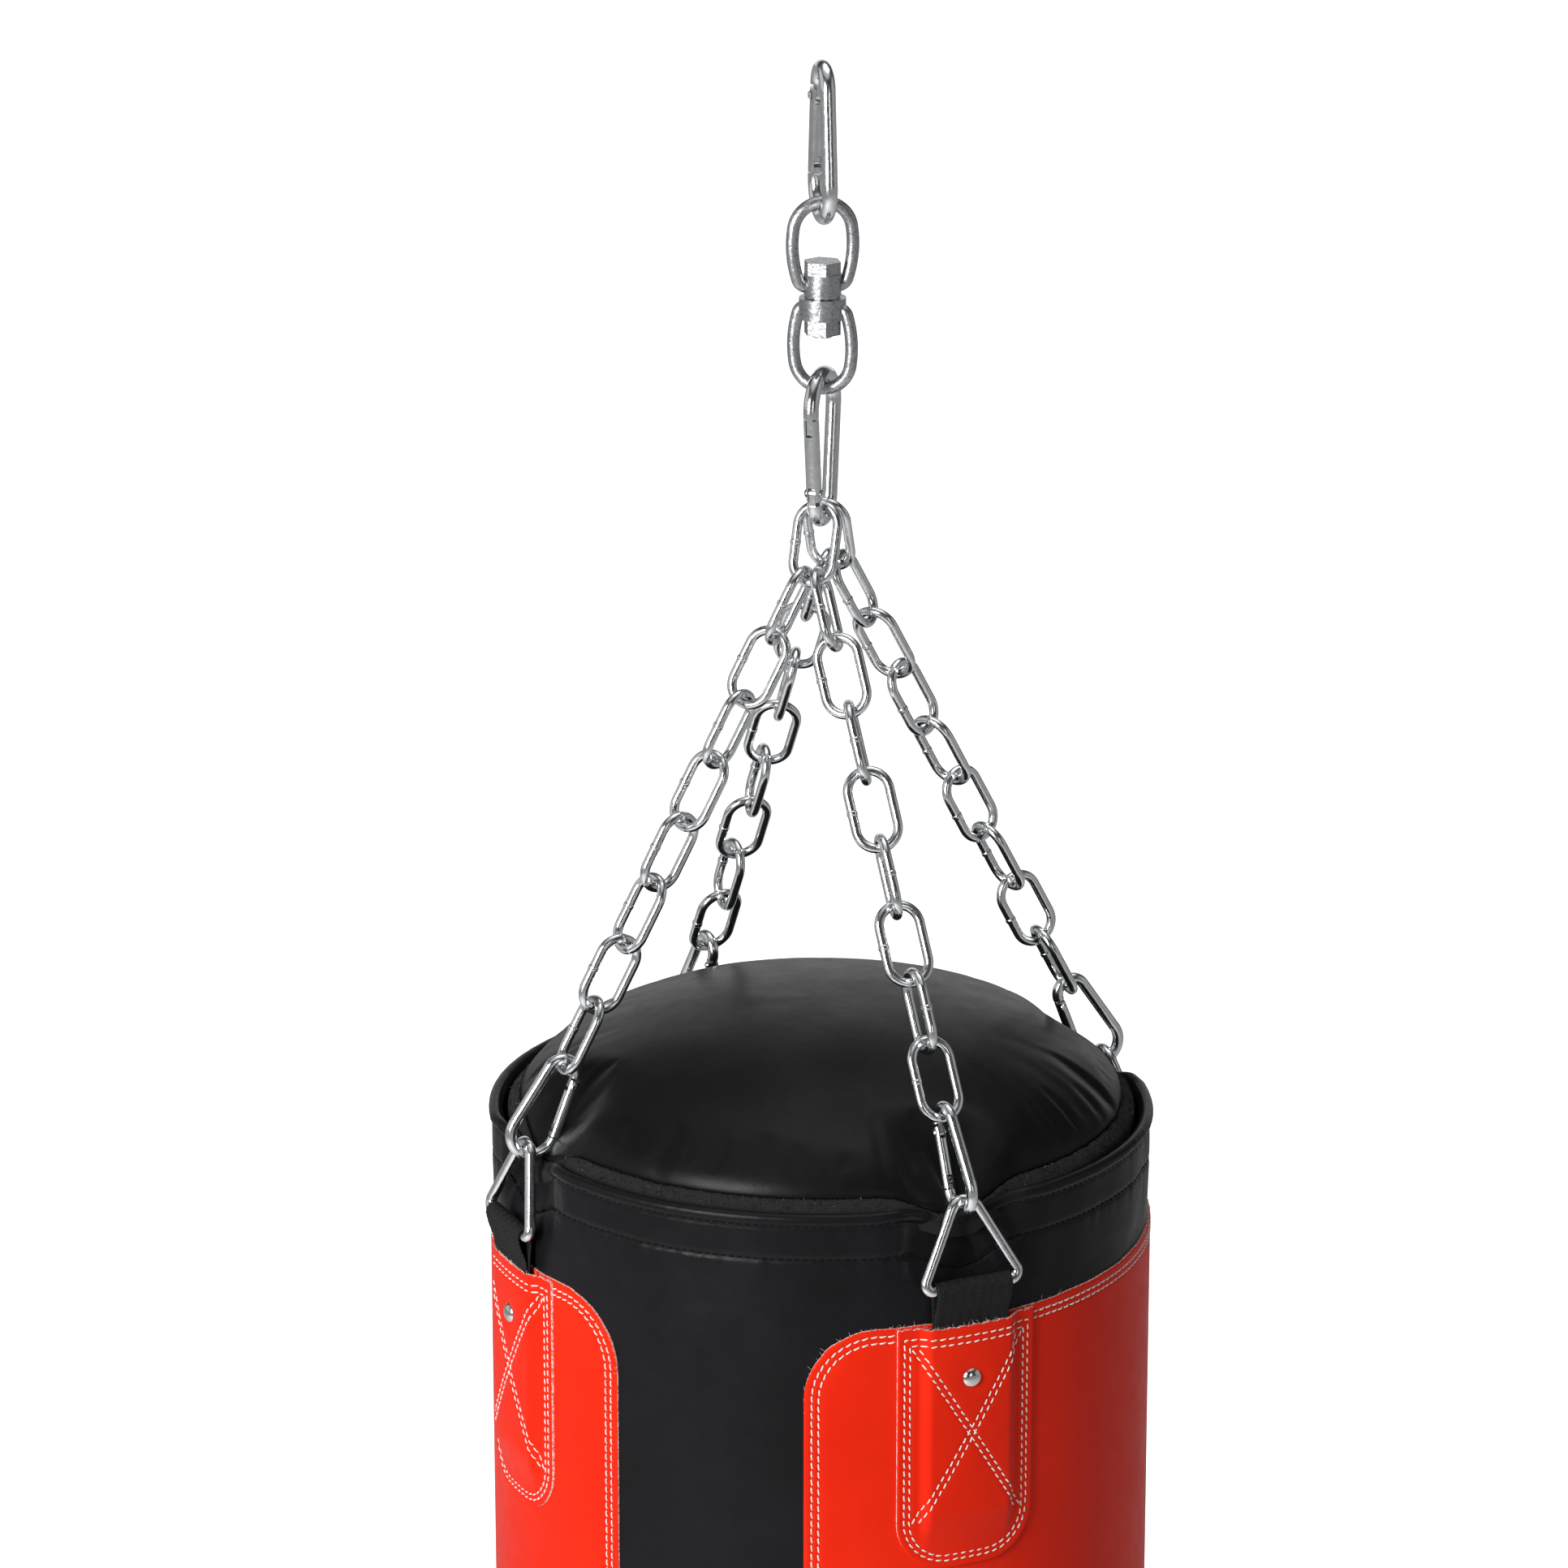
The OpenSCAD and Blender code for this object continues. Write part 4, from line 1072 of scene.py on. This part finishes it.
def finish_steel():
    plain = {"swivel_bush": BRASS, "swivel_thrust_washer": ZINC, "tab_rivet_washers": NICKEL,
             "foam_layer": FOAM, "filling": FILLING}
    cast = ("swivel_bolt", "swivel_nut", "swivel_upper_eye", "swivel_lower_eye", "swivel_head_washer")
    for name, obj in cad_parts.items():
        if obj.hide_render:
            continue
        obj.data.materials.clear()
        obj.data.materials.append(plain.get(name, CAST if name in cast else ZINC))


# ---------------------------------------------------------------- stage, light and camera
def build_stage():
    m, nt, bsdf = material("pale_floor")
    vec = object_coords(nt, (1, 1, 1))
    nt.links.new(ramp(nt, noise(nt, vec, 3, 3), [(0.3, grey(0.90)), (0.7, grey(0.93))]),
                 bsdf.inputs["Base Color"])
    bsdf.inputs["Roughness"].default_value = 0.8
    bsdf.inputs["Emission Color"].default_value = (1, 1, 1, 1)
    path = node(nt, "ShaderNodeLightPath")
    nt.links.new(path.outputs["Is Camera Ray"], bsdf.inputs["Emission Strength"])
    z = BASE_Z - 0.35
    half = 30.0
    mesh = bpy.data.meshes.new("floor")
    mesh.from_pydata([(-half, -half, z), (half, -half, z), (half, half, z), (-half, half, z)], [],
                     [(0, 1, 2, 3)])
    floor = bpy.data.objects.new("floor", mesh)
    bpy.context.scene.collection.objects.link(floor)
    mesh.materials.append(m)


def area_light(name, place, aim, size, power):
    data = bpy.data.lights.new(name, "AREA")
    data.shape = "RECTANGLE"
    data.size, data.size_y = size
    data.energy = power
    obj = bpy.data.objects.new(name, data)
    obj.location = place
    obj.rotation_euler = (Vector(aim) - Vector(place)).to_track_quat("-Z", "Y").to_euler()
    obj.visible_camera = False
    bpy.context.scene.collection.objects.link(obj)


def studio_lobe(nt, vec, axis, start, full, strength):
    """Light that comes from round one direction: full inside one cosine, gone outside another."""
    dot = node(nt, "ShaderNodeVectorMath")
    dot.operation = "DOT_PRODUCT"
    dot.inputs[1].default_value = Vector(axis).normalized()
    nt.links.new(vec, dot.inputs[0])
    mr = node(nt, "ShaderNodeMapRange")
    mr.interpolation_type = "SMOOTHSTEP"
    mr.inputs["From Min"].default_value = start
    mr.inputs["From Max"].default_value = full
    mr.inputs["To Max"].default_value = strength
    nt.links.new(dot.outputs["Value"], mr.inputs["Value"])
    return mr.outputs["Result"]


def build_world():
    """A white studio: bright behind the object and overhead, dark where the photographer stands.

    The camera itself sees plain white wherever it looks past the floor.
    """
    world = bpy.data.worlds.new("studio")
    world.use_nodes = True
    nt = world.node_tree
    bg = nt.nodes["Background"]
    vec = node(nt, "ShaderNodeTexCoord").outputs["Generated"]
    total = None
    for axis, start, full, strength in (
            ((-0.34, 0.94, -0.15), 0.70, 0.88, 0.85),
            ((0.0, 0.0, 1.0), 0.72, 0.90, 0.55),
            ((-0.95, -0.25, 0.15), 0.80, 0.92, 0.60),
            ((0.94, 0.30, 0.15), 0.84, 0.95, 0.35)):
        lobe = studio_lobe(nt, vec, axis, start, full, strength)
        if total is None:
            total = lobe
        else:
            add = node(nt, "ShaderNodeMath")
            add.operation = "ADD"
            nt.links.new(total, add.inputs[0])
            nt.links.new(lobe, add.inputs[1])
            total = add.outputs["Value"]
    floor_level = node(nt, "ShaderNodeMath")
    floor_level.operation = "ADD"
    floor_level.inputs[1].default_value = 0.06
    nt.links.new(total, floor_level.inputs[0])
    seen = node(nt, "ShaderNodeMath")
    seen.operation = "MAXIMUM"
    nt.links.new(floor_level.outputs["Value"], seen.inputs[0])
    nt.links.new(node(nt, "ShaderNodeLightPath").outputs["Is Camera Ray"], seen.inputs[1])
    nt.links.new(seen.outputs["Value"], bg.inputs["Strength"])
    bg.inputs["Color"].default_value = (1, 1, 1, 1)
    bpy.context.scene.world = world


def build_lights():
    mid = (0, 0, LIP_Z - 0.1)
    area_light("key", (-0.75, -2.45, LIP_Z + 0.85), mid, (1.0, 1.5), 92)
    area_light("fill", (1.9, -2.1, LIP_Z + 0.7), mid, (0.7, 1.2), 4)
    area_light("top", (0.1, 0.5, LIP_Z + 2.4), mid, (1.6, 1.6), 10)
    build_world()
    bpy.context.scene.view_settings.view_transform = "Standard"


CAMERA_AZIMUTH = 20.0
CAMERA_PITCH = 17.4
CAMERA_DISTANCE = 3.24
LENS = 36 * 7700 / 1932
AIM_OVER_LIP = 0.172
AIM_LEFT = 0.0195


def build_camera():
    azimuth = math.radians(CAMERA_AZIMUTH)
    pitch = math.radians(CAMERA_PITCH)
    back = Vector((math.sin(azimuth) * math.cos(pitch), -math.cos(azimuth) * math.cos(pitch),
                   math.sin(pitch)))
    right = Vector((math.cos(azimuth), math.sin(azimuth), 0))
    target = Vector((0, 0, LIP_Z + AIM_OVER_LIP)) - right * AIM_LEFT
    data = bpy.data.cameras.new("camera")
    data.sensor_width = 36
    data.lens = LENS
    cam = bpy.data.objects.new("camera", data)
    cam.location = target + back * CAMERA_DISTANCE
    cam.rotation_euler = back.to_track_quat("Z", "Y").to_euler()
    bpy.context.scene.collection.objects.link(cam)
    bpy.context.scene.camera = cam


build_camera()
build_wall()
round_stitches("hem_stitches", HEM_ROW, 0.10 * MM, 4.2 * MM, BLACK_THREAD)
round_stitches("lower_stitches", LOWER_ROW, 0.10 * MM, 4.2 * MM, BLACK_THREAD)
build_panel("panel_right", "red_panel_right", 0.0)
build_panel("panel_left", "red_panel_left", 180.0)
build_panel_stitches("panel_right_stitches", 0.0)
build_panel_stitches("panel_left_stitches", 180.0)
for corner, deg in CORNERS.items():
    build_tab("patch_" + corner, "tab_" + corner, deg)
    build_tab_stitches("patch_stitches_" + corner, deg)
    build_strap(corner)
build_rivets()
build_cover()
build_tape()
build_fray()
build_tape_fuzz()
build_welds()
finish_steel()
build_stage()
build_lights()
